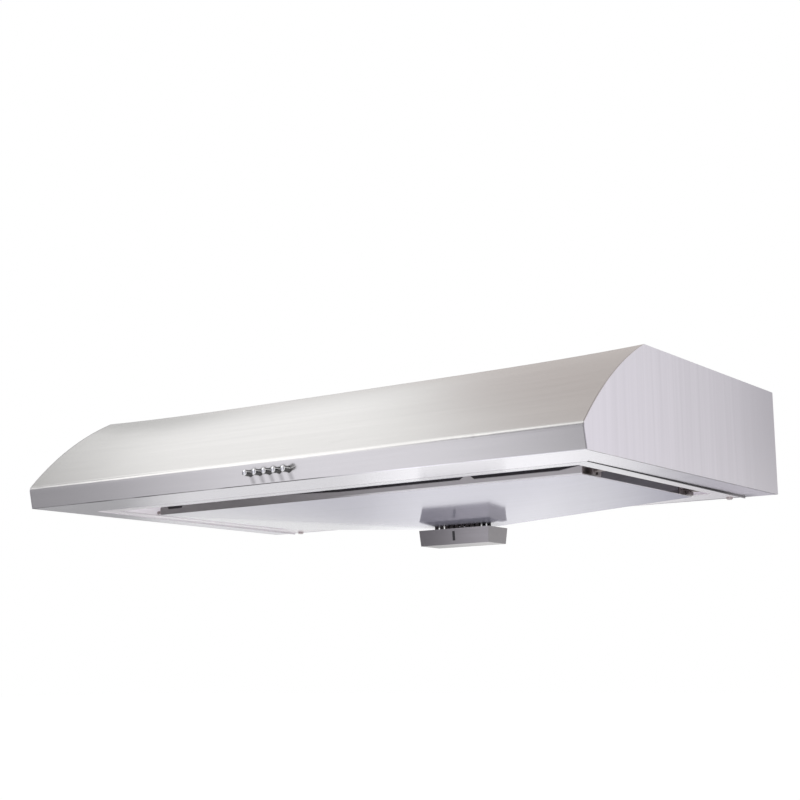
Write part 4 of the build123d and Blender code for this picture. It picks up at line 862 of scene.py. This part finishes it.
# Softboxes above and to the left, and grey flags around them: name, middle, two edges, level, colour and
# the width of the soft border on each edge.
CARDS = (
    ("ceiling_light", (-1.27, 0.30, 1.20), 1.3 * ASLANT, 1.7 * AHEAD, 1.3, PLAIN, (0.4, 0.45)),
    ("ceiling_light_front", (-1.15, -1.1, 1.19), (1.3, 0, 0), (0, 1.6, 0), 1.6, PLAIN, (0.25, 0.25)),
    ("ceiling_flag_right", (0.36, 1.1, 1.21), 3.0 * ASLANT, 4.0 * AHEAD, 0.70, WARM, (0.55, 0.3)),
    ("ceiling_flag_rear", (-1.6, 2.3, 1.22), (2.6, 0, 0), (0, 1.6, 0), 0.7, WARM, (0.3, 0.3)),
    ("ceiling_flag_left", (-2.35, 0.35, 1.22), (1.2, 0, 0), (0, 2.5, 0), 0.45, PLAIN, (0.3, 0.3)),
    ("left_flag", (-2.0, -0.1, -0.15), (0, 3.4, 0), (0, 0, 1.9), 0.40, PLAIN, (0.35, 0.35)),
    (
        "front_light_high",
        FRONT * 0.99 + 0.48 * BROADSIDE + Vector((0, 0, 1.2)),
        1.05 * BROADSIDE,
        (0, 0, 2.0),
        2.0,
        PLAIN,
        (0.2, 0.3),
    ),
    (
        "front_light_low",
        FRONT + 0.05 * BROADSIDE + Vector((0, 0, -0.25)),
        1.32 * BROADSIDE,
        (0, 0, 1.7),
        1.19,
        COOL,
        (0.5, 0.3),
    ),
    (
        "front_flag",
        FRONT * 1.02 - 0.25 * BROADSIDE + Vector((0, 0, 0.1)),
        3.2 * BROADSIDE,
        (0, 0, 2.4),
        0.42,
        COOL,
        (0.3, 0.3),
    ),
    ("rear_flag", (0.45, 1.9, 0.4), (1.9, 0, 0), (0, 0, 1.1), 0.45, COOL, (0.4, 0.4)),
    ("rear_light", (2.1, 1.9, 0.1), (1.2, 0, 0), (0, 0, 1.6), 1.35, COOL, (0.3, 0.3)),
    ("rear_low_flag", (-0.15, 1.88, -0.55), (1.2, 0, 0), (0, 0, 1.1), 0.45, COOL, (0.4, 0.4)),
    ("rear_low_light", (-1.12, 1.88, -0.55), (0.85, 0, 0), (0, 0, 1.1), 1.22, PLAIN, (0.22, 0.22)),
    ("rear_low_flag_left", (-2.0, 1.88, -0.55), (1.1, 0, 0), (0, 0, 1.1), 0.84, PLAIN, (0.22, 0.22)),
)


def seen_rays(tree):
    """1 for rays that show the white room: camera, glossy and transmitted ones."""
    rays = add(tree, "ShaderNodeLightPath").outputs
    seen = calc(tree, "MAXIMUM", rays["Is Camera Ray"], rays["Is Glossy Ray"])
    return calc(tree, "MAXIMUM", seen, rays["Is Transmission Ray"])


def turned(across, up, outward, place):
    """The matrix of something whose X, Y and Z run along three vectors."""
    return Matrix.Translation(place) @ Matrix((across, up, outward)).transposed().to_4x4()


def flat_square(name, half, material):
    """A level square of one face round its own origin."""
    mesh = bpy.data.meshes.new(name)
    work = bmesh.new()
    corners = ((-half, -half), (half, -half), (half, half), (-half, half))
    work.faces.new([work.verts.new((u, v, 0)) for u, v in corners])
    work.to_mesh(mesh)
    work.free()
    mesh.materials.append(material)
    square = bpy.data.objects.new(name, mesh)
    bpy.context.scene.collection.objects.link(square)
    return square


def soft_card(name, place, across, up, level, tone, soft):
    """A studio card or softbox that only shows in the metal: two edge vectors, a level and soft borders."""
    across, up = Vector(across), Vector(up)
    light = {"Emission_Color": tone, "Emission_Strength": level}
    material, surface = shader(name, (0, 0, 0), 1, Specular_IOR_Level=0, **light)
    edge = effect(material, card_border, Width=soft[0] / across.length, Height=soft[1] / up.length)
    give(material.node_tree, surface.inputs["Alpha"], edge["Mask"])
    card = flat_square(name, 0.5, material)
    card.matrix_world = turned(across, up, across.cross(up).normalized(), place)
    card.visible_camera = card.visible_diffuse = card.visible_transmission = False
    card.visible_volume_scatter = card.visible_shadow = False


def soft_lamp(name, shape, size, watts, place):
    """An area lamp that the metal doesn't mirror."""
    light = bpy.data.lights.new(name, "AREA")
    light.shape = shape
    light.size, light.size_y = size
    light.energy = watts
    lamp = bpy.data.objects.new(name, light)
    lamp.location = place
    lamp.visible_glossy = False
    bpy.context.scene.collection.objects.link(lamp)
    return lamp


class HOOD_OT_stage(Operator):
    """Camera, pale floor, white room, cards and soft lamps"""

    bl_idname = "hood.stage"
    bl_label = "Studio"

    def execute(self, context):
        scene, stage = context.scene, context.scene.hood_stage
        self.camera(scene, stage)
        self.world(scene, stage)
        self.floor(stage)
        for card in CARDS:
            soft_card(*card)
        self.lamps(stage)
        scene.view_settings.view_transform = "Standard"
        return {"FINISHED"}

    def camera(self, scene, stage):
        """The camera, looking up at the hood from its front right."""
        heading, pitch, roll = stage.heading, stage.pitch, stage.roll
        ahead = Vector((-sin(heading) * cos(pitch), cos(heading) * cos(pitch), sin(pitch)))
        right = Vector((cos(heading), sin(heading), 0))
        up = right.cross(ahead)
        right, up = cos(roll) * right + sin(roll) * up, cos(roll) * up - sin(roll) * right
        camera = bpy.data.objects.new("camera", bpy.data.cameras.new("camera"))
        camera.data.lens = stage.lens
        camera.data.sensor_width = SENSOR_WIDTH
        camera.matrix_world = turned(right, up, -ahead, stage.camera_place)
        scene.collection.objects.link(camera)
        scene.camera = camera

    def world(self, scene, stage):
        """A white room that lights the hood less than it shows."""
        world = bpy.data.worlds.new("studio")
        scene.world = world
        world.use_nodes = True
        tree = world.node_tree
        back = tree.nodes["Background"]
        give(tree, back.inputs["Color"], PLAIN)
        vary(tree, seen_rays(tree), stage.ambient, 1, back, "Strength")

    def floor(self, stage):
        """A wide pale floor that keeps the hood's shadow and fades into the room; clear from below."""
        grey = (FLOOR_GREY, FLOOR_GREY, FLOOR_GREY)
        material, surface = shader(
            "pale_floor", grey, FLOOR_ROUGH, Specular_IOR_Level=0, Emission_Color=PLAIN
        )
        tree = material.node_tree
        glow = FLOOR_SEEN - FLOOR_GREY * stage.ambient
        vary(tree, seen_rays(tree), 0, glow, surface, "Emission Strength")
        below = add(tree, "ShaderNodeNewGeometry").outputs["Backfacing"]
        clear = add(tree, "ShaderNodeBsdfTransparent").outputs[0]
        mix = add(tree, "ShaderNodeMixShader", {0: below, 1: surface.outputs[0], 2: clear})
        give(tree, tree.nodes["Material Output"].inputs["Surface"], mix.outputs[0])
        floor = flat_square("floor", FLOOR_HALF, material)
        floor.location.z = CAD_BOX[0][2] - stage.floor_drop

    def lamps(self, stage):
        """A soft key lamp at the front left, and a faint glow from the liner's roof."""
        key = soft_lamp("key", "DISK", (KEY_SIZE, KEY_SIZE), stage.key_power, KEY_PLACE)
        key.rotation_mode = "QUATERNION"
        key.rotation_quaternion = (KEY_AIM - KEY_PLACE).to_track_quat("-Z", "Y")
        low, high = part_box("liner_roof")
        size = [b - a - GLOW_MARGIN for a, b in zip(low[:2], high[:2])]
        x, y, _ = middle(low, high)
        glow = soft_lamp("inner", "RECTANGLE", size, stage.inner_power, (x, y, low[2] - GLOW_DROP))
        glow.visible_camera = False


class HOOD_PT_panel(Panel):
    """Lists the hood's operators and settings"""

    bl_idname = "HOOD_PT_panel"
    bl_label = "Range hood"
    bl_space_type = "VIEW_3D"
    bl_region_type = "UI"
    bl_category = "Range hood"

    def draw(self, context):
        for operator in OPERATORS:
            self.layout.operator(operator.bl_idname)
        for name, group in SETTINGS.items():
            for setting in group.__annotations__:
                self.layout.prop(getattr(context.scene, name), setting)


OPERATORS = (
    HOOD_OT_shell,
    HOOD_OT_underside,
    HOOD_OT_guard,
    HOOD_OT_cup,
    HOOD_OT_buttons,
    HOOD_OT_works,
    HOOD_OT_stage,
)
SETTINGS = {"hood_steel": HoodSteel, "hood_parts": HoodParts, "hood_stage": HoodStage}


def register():
    for group in SETTINGS.values():
        bpy.utils.register_class(group)
    for name, group in SETTINGS.items():
        setattr(bpy.types.Scene, name, PointerProperty(type=group))
    for made in OPERATORS + (HOOD_PT_panel,):
        bpy.utils.register_class(made)


def unregister():
    for made in reversed(OPERATORS + (HOOD_PT_panel,)):
        bpy.utils.unregister_class(made)
    for name, group in SETTINGS.items():
        delattr(bpy.types.Scene, name)
        bpy.utils.unregister_class(group)


def main():
    register()
    for operator in OPERATORS:
        getattr(bpy.ops.hood, operator.bl_idname.split(".")[1])()
    owners = [*bpy.data.materials, *bpy.data.worlds]
    for tree in [owner.node_tree for owner in owners if owner.use_nodes] + list(bpy.data.node_groups):
        lay_out(tree)


if __name__ == "__main__":
    main()
